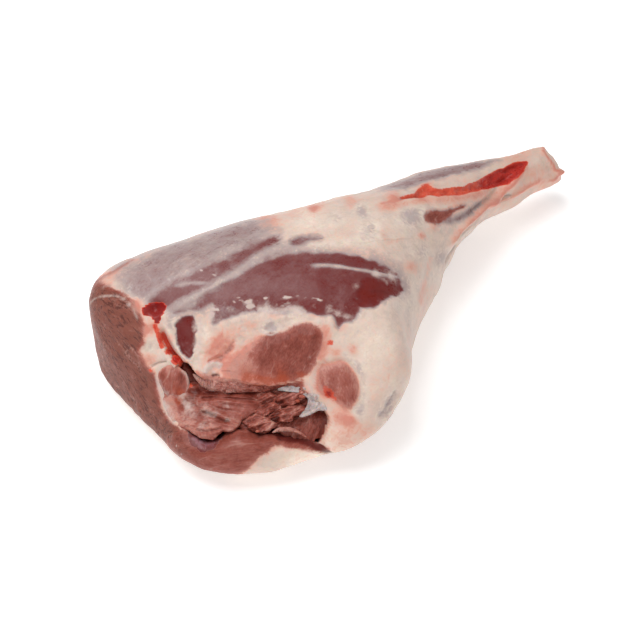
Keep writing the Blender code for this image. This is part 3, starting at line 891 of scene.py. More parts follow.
    def grain(self):
        """Each point in centimetres, squeezed along the way that the meat's fibres run there."""
        s = self.spots
        fibre = np.broadcast_to(unit(np.array((1.0, 0.12, 0.0))), s.p.shape)
        for depth, way in ((self.sawn_face, 0.78 * ACROSS - 0.62 * UP), (self.flap_meat, (0.75, -0.62, 0.15)),
                           (self.top_muscle, (0.60, 0.10, 0.70)), (self.round_muscle, (0.2, 0.5, 0.8))):
            fibre = np.where((depth > -1)[..., None], unit(np.array(way)), fibre)
        squeeze = np.full(s.a.shape, 0.86)
        for depth, amount in ((self.sawn_face, 0.94), (self.top_muscle, 0.55), (self.round_muscle, 0.65)):
            squeeze = np.where(depth > -1, amount, squeeze)
        return squeezed(s.p, fibre, squeeze)

    def mesh(self):
        """The skin moved by its relief and nudges, kept at or above the table, with its tissues."""
        s = self.spots
        out, slide, swell = self.relief()
        moved = s.p + out[..., None] * OUT + slide[..., None] * UP + swell[..., None] * s.n
        nudge = spread(s, NUDGES) + spread(s, EDGE_NUDGES) * (1 - ease(s.facing, 0.1, 0.7))
        moved += nudge[..., None] * ACROSS
        moved[..., 2] = np.maximum(moved[..., 2], 0)
        shades = {"tissue": self.tissue(), "tint": self.tint(), "film": self.film(), "grain": self.grain()}
        return closed_mesh("leg_body", moved, shades)


def squeezed(points, fibre, amount):
    """Points in centimetres, pressed together along the fibres so that noise on them runs lengthwise."""
    lengthwise = (points * fibre).sum(-1)
    return (points - (np.asarray(amount) * lengthwise)[..., None] * fibre) / 10


# ---- Loose lumps of meat on the open end ----


# How far inside the leg's underside, and over the table, the loose pieces stay.
UNDER_SKIN = 3
OVER_TABLE = 1


class Lump:
    """A pebble of meat on the cut, drawn by its outline on the board.

    Round turns t and down falls f, a point is middle + (outline - middle) * |sin f| ^ s across the board,
    and form height + lift + lean + rise * cos f ^ s off it, with `sink` in place of rise underneath.
    What would come out of the leg's underside is pulled back in.
    """

    squareness = 0.75

    def __init__(self, name, outline, middle, lift=0.0, rise=3.0, sink=14.0, lean=(0.0, 0.0), folds=(),
                 ragged=1.0, lumpy=0.8, fine=0.35, seed=50, rounds=300, falls=120, grain=(1.0, 0.0),
                 strings=0.5):
        """Lays out the pebble's rings from its top to its underside, then folds and bumps them."""
        self.name, self.seed = name, seed
        turn = np.linspace(0, 2 * np.pi, rounds, endpoint=False)
        fall = np.linspace(0, np.pi, falls)[:, None]
        edge = smooth_curve(outline, True, 12) - np.array(middle)
        angle = np.arctan2(edge[:, 1], edge[:, 0])
        order = np.argsort(angle)
        reach = np.interp(turn, angle[order], np.hypot(edge[:, 0], edge[:, 1])[order], period=2 * np.pi)
        across = np.sin(fall) ** self.squareness
        height = np.sign(np.cos(fall)) * np.abs(np.cos(fall)) ** self.squareness
        ring = np.stack((np.cos(turn), np.sin(turn), np.zeros(rounds)), -1)
        wander = ragged * rough(ring * reach[:, None] + seed, 7.0, seed, 4)
        reach = reach[None] * across + wander * across**2
        a = middle[0] + reach * np.cos(turn)
        b = middle[1] + reach * np.sin(turn)
        off = lift + lean[0] * (a - middle[0]) + lean[1] * (b - middle[1])
        o = form_height(a, b) + off + np.where(height > 0, rise, sink) * height
        p = on_board(a, b, o)
        upper = ease(height + 0 * a, -0.2, 0.3)
        self.dent = np.zeros(a.shape)
        for line, depth, width in folds:
            gap, place = from_line(line, a, b)
            bank = 0.45 * hump(gap - 1.9 * width, width)
            self.dent += depth * (hump(gap, width) - bank) * fade_ends(place)
        fibre = unit(grain[0] * ACROSS + grain[1] * UP)
        self.grain = squeezed(p, fibre, 0.84)
        bumps = lumpy * (rough(p, 8, seed + 5, 3) + fine * rough(p, 2.6, seed + 6, 2))
        bumps += strings * (creased(self.grain * 10, 3.2, seed + 9, 3) - 0.5)
        self.bumps = bumps * upper
        self.p = p + ((bumps - self.dent) * upper)[..., None] * OUT
        for _ in range(4):
            below = ease(-(outward_normal(self.p) @ OUT), -0.05, 0.15)
            self.p += (below * np.clip(form(self.p) + UNDER_SKIN, 0, None))[..., None] * OUT
        self.p[..., 2] = np.maximum(self.p[..., 2], OVER_TABLE)
        self.a, self.b, self.upper = a, b, upper
        self.height = height + 0 * a
        self.share = np.where(self.height > -0.3, across, 0)

    def mesh(self, blush=0.0, cover=0.2, rim=0.0, bloods=(), milks_and_sheens=(), milk_and_sheen_lines=(), rusts=(), blush_and_shade_spots=(),
             painted_shade=0.0, gristle=0.0):
        """The lump with its tissues: cut meat, with cream, blood, milk and painted sheen, and painted shade
        where they are given; painted shade also darkens its underside and its folds.
        """
        shape = self.a.shape
        cut = np.minimum(8, 11 * (1 - self.share) - rim + 8 * (rim == 0))
        tissue = three(cover, cut, spread(self, bloods), shape)
        # Painted shade: the given amount, more on the underside and in the folds.
        shadow = painted_shade + 0.75 * ease(-self.height, -0.35, 0.2) + 0.16 * np.clip(self.dent, 0, 4)
        # The bumps tint the colour too: painted light on their crests and painted shade in their hollows.
        warm = blush + 0.3 * rough(self.p, 9, self.seed + 3, 3) + 0.75 * self.bumps + spread(self, blush_and_shade_spots)
        tint = three(warm, shadow, gristle, shape)
        milk_and_sheen = spread(self, milks_and_sheens) * (0.8 + 0.6 * rough(self.p, 4, self.seed + 7, 2))
        milk_and_sheen += lines(self, milk_and_sheen_lines)
        film = three(spread(self, rusts), milk_and_sheen * self.upper, 0, shape)
        shades = {"tissue": tissue, "tint": tint, "film": film, "grain": self.grain}
        return closed_mesh(self.name, self.p, shades)


def strand(name, line, widths, depth, lift, blush=0.0, fade=0.0, cover=1.0, cut=8.0, blood=0.0, milk_and_sheen=0.0,
           seed=90, lengths=260, rounds=40, lumpy=0.35, strings=0.0):
    """A tapering strip of tissue along a line on the board: an oval section carried along the curve.

    Round turn t, a point is the curve + width * cos t to its side + depth * sin t off the board, and both
    shrink at the ends as the root of 1 - |2 * share - 1| ^ 6, where share runs from 0 to 1 along it.
    """
    path = smooth_curve(line, False, 12)
    gap = np.concatenate(([0], np.cumsum(np.linalg.norm(np.diff(path, axis=0), axis=1))))
    place = np.linspace(0, gap[-1], lengths)
    a, b = np.interp(place, gap, path[:, 0]), np.interp(place, gap, path[:, 1])
    share = place / gap[-1]
    width = np.interp(share, np.linspace(0, 1, len(widths)), widths)
    taper = np.sqrt(np.clip(1 - np.abs(2 * share - 1) ** 6, 0, 1))
    off = np.interp(share, np.linspace(0, 1, len(lift)), lift)
    heading = unit(np.stack((np.gradient(a), np.gradient(b)), -1))
    side = heading[:, 1:2] * ACROSS - heading[:, 0:1] * UP
    turn = np.linspace(0, 2 * np.pi, rounds, endpoint=False)
    middle = on_board(a, b, form_height(a, b) + off)
    ring = middle[:, None] + 3 * np.cos(turn)[None, :, None] * UP
    wander = 1 + 0.18 * lumpy * rough(ring, 5.0, seed + 4, 3)
    p = (
        middle[:, None]
        + (width * taper)[:, None, None] * (wander * np.cos(turn)[None])[..., None] * side[:, None]
        + (depth * taper)[:, None, None] * np.sin(turn)[None, :, None] * OUT
    )
    way = np.broadcast_to((heading[:, 0:1] * ACROSS + heading[:, 1:2] * UP)[:, None], p.shape)
    grain = squeezed(p, way, 0.8)
    bumps = lumpy * rough(p, 3.5, seed, 3) + strings * (creased(grain * 10, 2.6, seed + 1, 3) - 0.5)
    p = p + (bumps * taper[:, None])[..., None] * OUT
    shape = p.shape[:2]
    tissue = three(cover, cut, blood, shape)
    # The bumps tint the colour too: painted light on their crests and painted shade between them.
    tint = three(blush + fade * share[:, None] + 0.25 * rough(p, 6, seed + 2, 2) + 0.5 * bumps, 0, 0, shape)
    film = three(0, milk_and_sheen * (1 - share[:, None]), 0, shape)
    return closed_mesh(name, p, {"tissue": tissue, "tint": tint, "film": film, "grain": grain})


BED_OF_PIT = (
    (-52, 4), (-42, 9), (-36, 12), (-26, 12), (-10, 11), (4, 10), (18, 10), (27, 9), (22, 4), (14, 0),
    (9, -6), (4, -12), (0, -16), (-8, -18), (-14, -20), (-20, -22), (-27, -22), (-34, -18), (-42, -17),
    (-48, -12),
)
SMALL_OVAL = (
    (-55, 17), (-49, 22), (-45, 24), (-41, 22), (-36, 17), (-34, 10), (-35, 4), (-41, 1), (-48, 1),
    (-53, 8),
)
LEFT_MEAT = (
    (-54, 6), (-48, 11), (-40, 12), (-34, 11), (-26, 11), (-16, 10), (-8, 11), (4, 11), (13, 9), (15, 4),
    (12, -3), (7, -8), (1, -12), (-1, -14), (-7, -18), (-14, -20), (-19, -24), (-26, -24), (-32, -21),
    (-38, -18), (-42, -19), (-47, -14), (-51, -6),
)
# Folds of the left meat: the line, how deep, and how wide. Less than 0 stands up.
LEFT_FOLDS = (
    (((-32, 8), (-18, 6), (-4, 6), (12, 6)), 2.4, 4), (((-29, 1), (-16, 2), (-4, 1), (11, 0)), 1.6, 1),
    (((-34, 8), (-30, 2), (-31, -4)), 1, 1.8), (((-24, -4), (-19, -6), (-13, -9), (-8, -11)), -1.5, 1.3),
    (((-28, -6), (-20, -9), (-14, -12), (-6, -13)), 1.4, 1),
    (((-38, -12), (-28, -13), (-20, -16)), 0.9, 1.3), (((-18, 0), (-8, -3), (3, -4)), 0.8, 1.3),
    (((-26, 5), (-12, 4), (0, 5)), 1.3, 0.8), (((-30, -18), (-22, -19), (-12, -17)), 0.9, 0.9),
    (((-47, 0), (-42, -6), (-38, -12)), 0.9, 2.2), (((-22, 8), (-10, 8), (4, 8)), 1.1, 0.8),
    (((-16, -5), (-8, -6), (0, -7)), 0.8, 1.2), (((-34, -3), (-28, -4), (-24, -2)), 0.7, 1.2),
    (((-44, -13), (-38, -15), (-33, -18)), 0.6, 1.2),
)
LOWER_BED = (
    (-4, -16), (0, -11), (7, -6), (16, -2), (24, -3), (28, -8), (25, -13), (21, -16), (14, -20), (6, -19),
)
UPPER_BED = (
    (4, -4), (10, 5), (20, 10), (32, 12), (42, 11), (50, 4), (52, -4), (42, -10), (30, -13), (20, -14),
    (11, -10),
)
# Torn clumps: name, outline, middle, blush, and the way that the fibres run.
CLUMPS = (
    ("clump_upper", ((8, 2), (12, 6), (18, 6), (22, 3), (20, -1), (14, -3), (9, -2)), (15, 2), 0.1,
     (0.9, 0.5)),
    ("clump_torn", ((22, 2), (25, 6), (31, 7), (38, 6), (37, 1), (30, -1), (23, -3)), (30, 2), -0.4,
     (1.0, 0.5)),
    ("clump_low", ((-1, -13), (4, -9), (9, -7), (16, -8), (20, -11), (23, -15), (18, -18), (11, -20),
                   (6, -18), (2, -16)), (11, -14), 0.55, (0.8, 0.4)),
    ("clump_strip", ((18, -9), (26, -5), (33, -2), (40, -4), (41, -8), (33, -11), (25, -13), (19, -13)),
     (30, -8), -0.45, (1.0, 0.45)),
    ("clump_middle", ((6, -6), (12, -3), (19, -1), (26, -4), (20, -8), (15, -10), (9, -10)), (15, -6), -0.1,
     (1.0, 0.4)),
)
# Small nubs: across, up, radius, blush.
NUB_PLACES = ((38, 3, 2.4, 0.9), (35, 0, 2, 0.5), (10, -19, 1.8, 0.7))
POCKET_MEAT = (
    (18, -15), (28, -11), (37, -8), (46, -5), (57, -5), (60, -14), (58, -26), (52, -32), (40, -29),
    (28, -23),
)
CLEFT_BED = ((-50, 10), (-49, 20), (-45, 27), (-39, 27), (-33, 20), (-28, 13), (-30, 7), (-38, 4))
BLOOD_BALL = ((-47, 25), (-45, 29), (-41, 28), (-38, 25), (-40, 21), (-44, 21))
TORN_STRIP = (
    (-32, 17), (-28, 14), (-22, 11), (-16, 10), (-6, 9), (5, 9), (14, 9), (24, 11), (32, 13), (38, 16),
)
POCKET_LIP = ((19, -20), (24, -18), (30, -18), (36, -20), (41, -23))
GRISTLE_FOLD = ((38, -9), (43, -7), (47, -3), (47, 1))
GRISTLE_EDGE = ((28, 10), (38, 11), (45, 8), (50, 2), (54, -5))
# Plates of gristle: name, outline, middle, lean, seed.
GRISTLE = (
    ("gristle_upper", ((22, 7), (30, 11), (39, 11), (45, 8), (49, 3), (44, -1), (40, 3), (35, 5), (28, 6)),
     (42, 5), (0.03, 0.05), 92),
    ("gristle_lower", ((42, 5), (48, 3), (52, -2), (54, -5), (47, -7), (41, -10), (36, -10), (39, -6),
                       (41, -2)), (46, -2), (-0.05, 0.10), 95),
)
GRISTLE_FOLDS = ((((36, 8), (42, 4), (46, -1)), 1.4, 1), (((42, -7), (47, -4), (50, -1)), 0.8, 0.8))
OVAL_RIMS = (
    (((-40, 21), (-36, 16), (-34, 10), (-35, 5)), 1.6, 0.6), (((-54, 14), (-52, 8), (-48, 3)), 2, 0.4),
)
# The single lumps, beds first: name, outline, middle, then what Lump and its mesh are called with.
LUMPS = (
    # The beds carry painted shade where they lie deep in the pit and in the cleft.
    ("bed_meat", BED_OF_PIT, (-18, -5), {"lift": -7.5, "rise": 6, "seed": 51, "falls": 90},
     {"blush": -0.7, "painted_shade": 0.15}),
    ("cleft_bed", CLEFT_BED, (-40, 14),
     {"lift": -8.5, "rise": 3.5, "sink": 8, "seed": 87, "ragged": 0.8, "lumpy": 1.2},
     {"blush": -1, "painted_shade": 0.45, "bloods": ((-43, 24, 5, 0.5), (-34, 8, 2.5, 0.9))}),
    ("left_meat", LEFT_MEAT, (-20, -5),
     {"lift": -2.6, "rise": 5.2, "lean": (0.0, -0.05), "seed": 52, "ragged": 1.5, "strings": 0.3,
      "lumpy": 0.75, "fine": 0.3, "grain": (1.0, -0.12), "folds": LEFT_FOLDS, "rounds": 460, "falls": 190},
     {"blush": 0.5,
      # The dark spots along the top ridge are painted shade under the torn strip; the pale ones at the left
      # are the shoulder's own cream-pink.
      "blush_and_shade_spots": ((-46, -2, 6, 1.3), (-42, -12, 6, 1.1), (-36, -14, 6, 0.6), (-30, 5, 4, -1.6),
                  (-20, 6, 5, -2.0), (-8, 6, 5, -2.2), (5, 5, 6, -2.0), (-42, 1, 3, -1.2),
                  (-38, -4, 3, -0.8), (9, -2, 5, -0.5), (-18, 1, 3, -0.4), (-24, -19, 5, 0.4),
                  (-6, -15, 5, -0.3), (-12, -3, 5, 0.3), (-27, -9, 4, -0.5), (-12, -12, 4, -0.5)),
      # Milk: cream on the shoulder at the left, and painted sheen on the broad lump in the middle.
      "milks_and_sheens": ((-51, -2, 3, 0.9), (-47, -11, 4, 0.9), (-40, 5, 4, 0.6), (-35, -1, 4, 0.6),
                (-43, -17, 3, 0.7), (-25, -6, 9, 0.35), (-19, -8, 3, 0.6), (-9, -11, 2, 0.9),
                (-35, -9, 5, 0.4), (-27, -17, 5, 0.4), (-49, -6, 3, 0.8), (-8, -4, 8, 0.28)),
      "rusts": ((-41, 0, 4, 0.9), (-37, 4, 3, 0.5), (-33, -14, 4, 0.4)), "bloods": ((-34, 10, 2.2, 0.8),)}),
    ("lower_bed", LOWER_BED, (12, -12),
     {"lift": -6.5, "rise": 4.5, "sink": 12, "seed": 61, "ragged": 1.5, "lumpy": 1.4, "strings": 1.2,
      "grain": (0.8, 0.5), "rounds": 200, "falls": 80}, {"blush": -0.3, "painted_shade": 0.12}),
    ("upper_bed", UPPER_BED, (28, -2),
     {"lift": -8, "rise": 5, "sink": 12, "seed": 71, "ragged": 1.5, "lumpy": 1.5, "strings": 1.5,
      "grain": (0.85, 0.5)}, {"blush": -0.35, "painted_shade": 0.12}),
    ("pocket_meat", POCKET_MEAT, (42, -16),
     {"lift": -9.5, "rise": 5, "sink": 3, "lean": (-0.08, -0.12), "seed": 81, "strings": 0.8,
      "grain": (0.35, 1.0)},
     # Painted light and shade: lighter at the left, darker at the right and under the gristle.
     {"blush": 0.25, "blush_and_shade_spots": ((55, -15, 7, -1.1), (48, -6, 6, -0.6), (36, -15, 8, 0.5)),
      "milks_and_sheens": ((52, -6, 3, 0.25),)}),
    ("small_oval", SMALL_OVAL, (-45, 11),
     {"lift": -1.2, "rise": 3.4, "seed": 85, "ragged": 0.6, "strings": 0.2, "lumpy": 0.5,
      "grain": (0.3, 1.0)},
     {"blush": 0.1, "cover": 0.92, "rim": 0.4, "milk_and_sheen_lines": OVAL_RIMS, "bloods": ((-51, 12, 1.5, 0.35),),
      "milks_and_sheens": ((-47, 2, 4, 0.3), (-42, 2, 4, 0.2), (-47, 19, 4, 0.25)),
      "blush_and_shade_spots": ((-46, 20, 5, 0.5), (-44, 3, 5, 0.4)), "rusts": ((-42, 7, 5, 0.5), (-39, 5, 3, 0.4))}),
    ("blood_ball", BLOOD_BALL, (-43, 25),
     {"lift": -3.5, "rise": 4, "sink": 6, "seed": 86, "ragged": 0.7, "lumpy": 1.6, "rounds": 120,
      "falls": 50}, {"bloods": ((-43, 25, 5, 1.1),)}),
)


def open_end():
    """The torn and cut meat that fills the pit: the beds first, then the pieces lying on them."""
    pieces = []
    for name, outline, middle, shape, look in LUMPS:
        pieces.append(Lump(name, outline, middle, **shape).mesh(**look))
    pieces.append(strand(
        "torn_strip", TORN_STRIP, (1.4, 3.4, 4.6, 4.8, 4.0, 3.4, 3.2, 2.8, 2.0, 1.2), 2.4,
        (-1.5, -0.5, 0.2, 0.2, 0, -0.5, -0.5, -0.5), blush=1.4, fade=-2.6, cover=0.2, lumpy=0.6, strings=1.0,
        milk_and_sheen=0.40, lengths=420, rounds=70))
    # The pocket lip's milk is a painted highlight along it, fading towards its end.
    pieces.append(strand(
        "pocket_lip", POCKET_LIP, (0.8, 1.5, 1.5, 1.0, 0.5), 1.5, (-2.0, -1, -0.5, -1, -1.5), blush=1.1,
        blood=0.26, milk_and_sheen=0.45, seed=91, strings=0.3))
    for name, outline, middle, lean, seed in GRISTLE:
        plate = Lump(name, outline, middle, lift=0.2, rise=1.6, sink=4, lean=lean, seed=seed, ragged=0.7,
                     lumpy=1.5, fine=0.8, strings=0.2, rounds=160, falls=80, folds=GRISTLE_FOLDS)
        # Painted highlights along the gristle's curled edge and its fold.
        milk_and_sheen_lines = ((GRISTLE_EDGE, 1.3, 1.3), (GRISTLE_FOLD, 0.8, 1.0))
        pieces.append(plate.mesh(gristle=0.85, blush=0.3, milk_and_sheen_lines=milk_and_sheen_lines))
    for number, (name, outline, middle, blush, grain) in enumerate(CLUMPS):
        clump = Lump(name, outline, middle, lift=-2.6, rise=3.0, sink=9, seed=110 + 7 * number, ragged=2.2,
                     lumpy=1.3, fine=0.5, strings=1.7, rounds=240, falls=110, grain=grain)
        pieces.append(clump.mesh(blush=blush))
    for number, (across, up, radius, blush) in enumerate(NUB_PLACES):
        turn = np.linspace(0, 2 * np.pi, 6, endpoint=False)
        outline = np.stack((across + radius * np.cos(turn), up + 0.7 * radius * np.sin(turn)), -1)
        nub = Lump(f"nub_{number + 1}", outline, (across, up), lift=-1.6, rise=3.4, sink=5,
                   seed=150 + 5 * number, ragged=0.8, lumpy=0.9, strings=0.3, rounds=90, falls=40)
        pieces.append(nub.mesh(blush=blush, rusts=((across, up, 2.5, 0.7),)))
    return pieces


# ---- Materials ----


class Value:
    """A number from a node. Sums on it add Math nodes, so a mask is written as plain arithmetic."""

    def __init__(self, shader, socket):
        """Holds a node's output and the material that it belongs to."""
        self.shader, self.socket = shader, socket

    def math(self, operation, other):
        """One Math node on this value and another."""
        return self.shader.node("ShaderNodeMath", {"operation": operation}, {0: self, 1: other})

    def __add__(self, other):
        """The sum."""
        return self.math("ADD", other)

    def __mul__(self, other):
        """The product."""
        return self.math("MULTIPLY", other)

    def __sub__(self, other):
        """The difference."""
        return self.math("SUBTRACT", other)

    def __rsub__(self, other):
        """The difference the other way round."""
        return self * -1 + other

    def __truediv__(self, other):
        """The quotient."""
        return self.math("DIVIDE", other)

    __radd__ = __add__
    __rmul__ = __mul__

    def ease(self, start, end):
        """0 before start, 1 after end, smooth between."""
        settings = {"interpolation_type": "SMOOTHSTEP"}
        inputs = {"Value": self, "From Min": start, "From Max": end}
        return self.shader.node("ShaderNodeMapRange", settings, inputs)


class Shader:
    """A material that is wired by function calls."""

    def __init__(self, name):
        """Starts a material with its surface and the object's own coordinates."""
        self.material = bpy.data.materials.new(name)
        self.material.use_nodes = True
        self.tree = self.material.node_tree
        self.surface = self.tree.nodes["Principled BSDF"]
        self.place = self.node("ShaderNodeTexCoord", None, None, 3)

    def node(self, kind, settings=None, inputs=None, output=0):
        """Adds a node, sets it up, joins its inputs to values or other nodes, and returns an output."""
        node = self.tree.nodes.new(kind)
        for key, value in (settings or {}).items():
            setattr(node, key, value)
        for key, value in (inputs or {}).items():
            self.join(value, node.inputs[key])
        return Value(self, node.outputs[output])

    def join(self, value, socket):
        """Links a value to an input, or sets the input to a number or a colour."""
        if isinstance(value, Value):
            self.tree.links.new(value.socket, socket)
        elif isinstance(value, tuple) and len(value) == 3 and socket.type == "RGBA":
            socket.default_value = (*value, 1)
        else:
            socket.default_value = value

    def noise(self, size, where=None, detail=2.0, unit_size=MM, distortion=0.0):
        """Noise from 0 to 1 with lumps about `size` units across."""
        settings = {"noise_dimensions": "3D"}
        inputs = {"Vector": where or self.place, "Scale": 1 / (size * unit_size), "Detail": detail,
                  "Distortion": distortion}
        return self.node("ShaderNodeTexNoise", settings, inputs)

    def blend(self, below, above, share):
        """One colour over another."""
        inputs = {"Factor": share, 6: below, 7: above}
        return self.node("ShaderNodeMix", {"data_type": "RGBA"}, inputs, output=2)

    def ramp(self, share, stops):
        """A colour picked from stops of place and colour."""
        value = self.node("ShaderNodeValToRGB", None, {"Fac": share})
        band = value.socket.node.color_ramp
        while len(band.elements) < len(stops):
            band.elements.new(0.5)
        for element, (place, colour) in zip(band.elements, stops):
            element.position = place
            element.color = (*colour, 1)
        return value

    def parts(self, name):
        """The three numbers of an attribute that the mesh carries."""
        vector = self.node("ShaderNodeAttribute", {"attribute_name": name}, None, 1)
        split = self.node("ShaderNodeSeparateXYZ", None, {0: vector})
        return [Value(self, out) for out in split.socket.node.outputs]

    def finish(self, constants, varying):
        """Sets the surface's plain inputs, joins its varying ones, and returns the material."""
        for name, value in constants.items():
            self.surface.inputs[name].default_value = value
        for name, value in varying.items():
            self.join(value, self.surface.inputs[name])
        return self.material


# The skin's colours from bare muscle to thick fat.
SKIN_STOPS = (
    (0.00, (0.170, 0.016, 0.011)),
    (0.12, (0.170, 0.022, 0.020)),
    (0.25, (0.180, 0.042, 0.040)),
    (0.37, (0.230, 0.094, 0.092)),
    (0.47, (0.340, 0.232, 0.224)),
    (0.56, (0.415, 0.318, 0.302)),
    (0.70, (0.540, 0.415, 0.370)),
    (0.79, (0.665, 0.525, 0.450)),
    (0.91, (0.765, 0.630, 0.535)),
    (1.00, (0.890, 0.770, 0.660)),
)
# The covering that the last of the skin's colours stands for.
COVER_SPAN = 1.3
# Cut meat from its dark to its pale fibres.
MEAT_STOPS = (
    (0.00, (0.110, 0.016, 0.010)),
    (0.30, (0.200, 0.042, 0.027)),
    (0.50, (0.275, 0.068, 0.048)),
    (0.72, (0.365, 0.115, 0.088)),
    (1.00, (0.530, 0.250, 0.200)),
)
PEACH = (0.72, 0.38, 0.29)
ROSE = (0.6, 0.2, 0.15)
COOL = (0.42, 0.335, 0.34)
VERMILION = (0.64, 0.085, 0.043)
BLOOD_RED = (0.46, 0.018, 0.01)
DARK_BLOOD = (0.25, 0.005, 0.004)
GRISTLE_GREY = (0.52, 0.455, 0.445)
LILAC = (0.4, 0.205, 0.235)
PAINTED_SHADE_RED = (0.1, 0.008, 0.0065)
FAT_WHITE = (0.79, 0.665, 0.56)
FAT_PINK = (0.64, 0.43, 0.35)
MARBLE = (0.5, 0.27, 0.22)
SAWN_BROWN = (0.235, 0.092, 0.066)
SLIT_BROWN = (0.11, 0.032, 0.024)
RUST_ORANGE = (0.41, 0.065, 0.022)
MILK_AND_SHEEN_WHITE = (0.64, 0.52, 0.47)


def raw_lamb():
    """Wet raw lamb: membrane and fat over muscle, cut meat, blood and gristle, picked by the mesh, with the
    painted shade and painted sheen that the mesh carries.
    """
    m = Shader("raw_lamb")
    cover, cut, blood = m.parts("tissue")
    blush, painted_shade, gristle = m.parts("tint")
    rust, milk_and_sheen, slits = m.parts("film")
    grain = m.node("ShaderNodeAttribute", {"attribute_name": "grain"}, None, 1)

    cloud = m.noise(7, detail=3) - 0.5
    speck = m.noise(1.6, detail=3) - 0.5
    fibre = m.noise(0.09, grain, 3, 1) - 0.5
    bundle = m.noise(0.45, grain, 2, 1) - 0.5

    swirl = m.noise(4.5, detail=4, distortion=1.4) - 0.5
    thick = cover + cloud * 0.22 + speck * 0.14 + bundle * 0.16 + fibre * 0.08 + swirl * 0.12
    skin = m.ramp(thick / COVER_SPAN, SKIN_STOPS)
    fatty = thick.ease(0.62, 0.95)
    skin = m.blend(skin, FAT_WHITE, swirl.ease(0.02, 0.22) * fatty * 0.55)
    skin = m.blend(skin, FAT_PINK, (swirl * -1).ease(0.02, 0.25) * fatty * 0.28)
    edge_pink = (cut * 0.33 + 1 + swirl).ease(0.0, 1.0) * 0.8
    warm = blush + cloud * 0.45 + speck * 0.25 + swirl * 0.35 + edge_pink - 0.05
    skin = m.blend(skin, PEACH, warm.ease(0.10, 1.1) * fatty * 0.85)
    skin = m.blend(skin, ROSE, warm.ease(0.7, 1.7) * fatty * 0.7)
    skin = m.blend(skin, COOL, (warm * -1).ease(0.05, 1.0) * fatty * 0.7)

    pale_rim = 1 - (cut + swirl * 4).ease(0.3, 3.5)
    tone = fibre * 0.5 + bundle * 0.5 + cloud * 0.35 + swirl * 0.3 + speck * 0.2 + blush * 0.30
    tone = tone + pale_rim * 0.2 + 0.46
    meat = m.ramp(tone, MEAT_STOPS)
    veins = m.node("ShaderNodeTexVoronoi", {"feature": "DISTANCE_TO_EDGE"},
                   {"Vector": grain, "Scale": 1.3, "Randomness": 1.0})
    marbling = (1 - veins.ease(0.0, 0.05)) * (bundle + 0.5).ease(0.45, 0.75)
    meat = m.blend(meat, MARBLE, marbling * 0.45)
    meat = m.blend(meat, SAWN_BROWN, slits * 0.55)
    slit = m.noise(0.17, grain, 3, 1, distortion=0.7).ease(0.52, 0.63) * slits
    meat = m.blend(meat, SLIT_BROWN, slit * 0.8)
    meat = m.blend(meat, MARBLE, (speck + bundle).ease(0.12, 0.45) * slits * 0.5)
    meat = m.blend(meat, RUST_ORANGE, (rust + cloud * 0.6 + fibre * 0.6).ease(0.15, 1.1) * 0.75)

    is_cut = (cut + speck * 1.2 + cloud * 1.8 + swirl * 3.0).ease(-1.0, 1.0)
    colour = m.blend(skin, meat, is_cut)
    bloody = (blood + cloud * 0.5 + speck * 0.7).ease(0.30, 0.62)
    clot = blood + cloud * 0.6 + swirl * 0.9
    stain = m.blend(VERMILION, BLOOD_RED, clot.ease(0.62, 1.05))
    stain = m.blend(stain, DARK_BLOOD, clot.ease(1.05, 1.6))
    sheen = m.blend(LILAC, GRISTLE_GREY, gristle.ease(0.60, 0.80))
    colour = m.blend(colour, sheen, (gristle + cloud * 0.6 + swirl * 0.8).ease(0.3, 0.95) * 0.92)
    # Milky film, and painted sheen and glints, in one milky white.
    milk_and_sheen_share = (milk_and_sheen + cloud * 0.5 + speck * 0.3 + swirl * 0.5 + fibre * 0.3).ease(0.05, 1.05)
    colour = m.blend(colour, MILK_AND_SHEEN_WHITE, milk_and_sheen_share * (milk_and_sheen.ease(0.02, 0.3)) * 0.85)
    colour = m.blend(colour, stain, bloody * 0.97)
    # Painted shade: darker in the pit, the cleft, the creases and hollows, and under and between the lumps.
    colour = m.blend(colour, PAINTED_SHADE_RED, (painted_shade + speck * 0.15).ease(0.05, 1.0) * 0.85)

    fat_bumps = m.noise(3.0, detail=3) * 0.5 + speck * 0.22
    film_bumps = m.noise(5.0, detail=2) * 0.35 + fibre * 0.08
    skin_bumps = film_bumps * (1 - fatty) + fat_bumps * fatty
    meat_bumps = fibre * 0.5 + bundle * 0.6 + speck * 0.25 - slit * 0.7
    height = skin_bumps * (1 - is_cut) + meat_bumps * is_cut
    bump = m.node("ShaderNodeBump", None, {"Strength": 0.55, "Distance": 0.0012, "Height": height})
    rough_skin = 0.30 + fatty * 0.14
    gloss = rough_skin + is_cut * 0.06 - bloody * 0.16 + speck * 0.15 + cloud * 0.15
    return m.finish(
        {"Subsurface Weight": 0.35, "Subsurface Radius": (1.0, 0.35, 0.20), "Subsurface Scale": 0.0035,
         "IOR": 1.4, "Specular IOR Level": 0.25, "Coat Roughness": 0.18, "Coat IOR": 1.35},
        {"Base Color": colour, "Roughness": gloss, "Normal": bump,
         "Coat Weight": 0.07 + bloody * 0.15 + is_cut * 0.10},
    )


def pale_floor():
    """A plain, matt, nearly white floor, lifted a little so that it reads as a studio sweep."""
    m = Shader("pale_floor")
    cloud = m.noise(60, detail=2)
    colour = m.blend((0.93, 0.93, 0.93), (0.95, 0.95, 0.95), cloud)
    return m.finish(
        {"Specular IOR Level": 0.2, "Emission Color": (1, 1, 1, 1), "Emission Strength": 0.35},
        {"Base Color": colour, "Roughness": cloud * 0.05 + 0.6},
    )


# ---- The scene ----

# The camera looks along the board's out at a point a little down and left of this one.
CAMERA_DISTANCE = 1500
CAMERA_AIM = np.array((-45.0, -12.0, 43.0))
CAMERA_OFFSET = 6.64
LENS = 127
SENSOR = 36
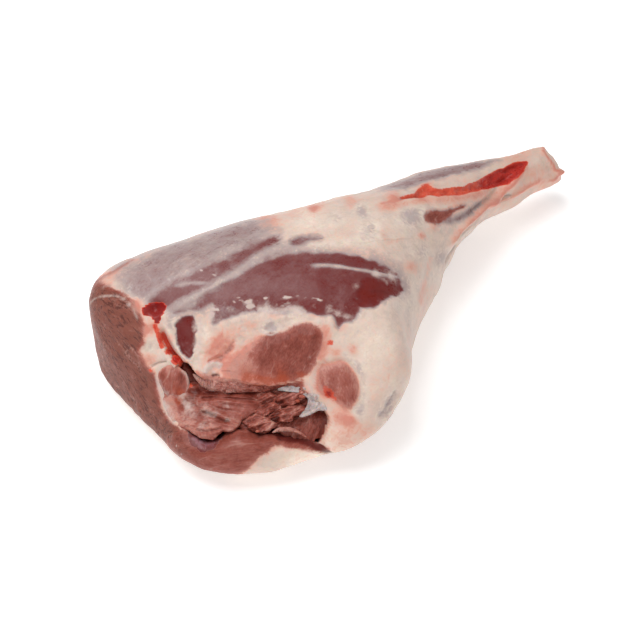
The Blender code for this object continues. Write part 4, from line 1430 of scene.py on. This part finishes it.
# These are in metres and watts: each softbox's name, place, size and power.
LIGHTS = (('softbox', (-0.3, 0.3, 1.3), 1, 13.5), ('fill', (-1, -1.2, 1), 1.2, 6))
LIGHT_AIM = (0, 0, 0.04)
SKY_STRENGTH = 0.38
FLOOR_HALF = 4.0


def dress(piece, finish):
    """Gives a piece its finish, says what it rides on, and hides the part of the model that it takes the
    place of.
    """
    piece.data.materials.append(finish)
    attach(piece, "root")
    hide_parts("leg")


def area_light(name, place, size, energy):
    """A square softbox that faces the middle of the table. Place and size are in metres."""
    light = bpy.data.lights.new(name, "AREA")
    light.size, light.energy = size, energy
    lamp = add_object(name, light)
    lamp.location = place
    lamp.rotation_euler = (Vector(LIGHT_AIM) - Vector(place)).to_track_quat("-Z", "Y").to_euler()


def studio():
    """The camera, the floor, the soft lights and the pale surroundings."""
    camera = add_object("camera", bpy.data.cameras.new("camera"))
    bpy.context.scene.camera = camera
    camera.data.lens = LENS
    camera.data.sensor_width = SENSOR
    aim = CAMERA_AIM - CAMERA_OFFSET * (ACROSS + UP)
    camera.location = Vector((aim + CAMERA_DISTANCE * OUT) * MM)
    camera.rotation_euler = Vector(-OUT).to_track_quat("-Z", "Y").to_euler()

    floor = bpy.data.meshes.new("floor")
    corners = [(x * FLOOR_HALF, y * FLOOR_HALF, 0) for x, y in ((-1, -1), (1, -1), (1, 1), (-1, 1))]
    floor.from_pydata(corners, [], [(0, 1, 2, 3)])
    floor.materials.append(pale_floor())
    add_object("floor", floor)

    world = bpy.data.worlds.new("studio")
    bpy.context.scene.world = world
    world.use_nodes = True
    background = world.node_tree.nodes["Background"]
    background.inputs["Color"].default_value = (1, 1, 1, 1)
    background.inputs["Strength"].default_value = SKY_STRENGTH
    for light in LIGHTS:
        area_light(*light)
    bpy.context.scene.view_settings.view_transform = "Standard"


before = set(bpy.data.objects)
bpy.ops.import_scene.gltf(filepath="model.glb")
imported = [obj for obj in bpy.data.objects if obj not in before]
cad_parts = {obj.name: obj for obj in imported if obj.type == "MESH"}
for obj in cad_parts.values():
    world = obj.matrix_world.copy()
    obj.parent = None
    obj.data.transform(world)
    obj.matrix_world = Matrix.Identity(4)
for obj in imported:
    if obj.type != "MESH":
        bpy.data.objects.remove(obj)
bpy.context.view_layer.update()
box_low, box_high = (np.array(corner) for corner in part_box("leg"))
leg_place = np.append((box_low + box_high)[:2] / 2, box_low[2])
form_height = board_height()
lamb = raw_lamb()
for piece in [Body().mesh()] + open_end():
    dress(piece, lamb)
studio()
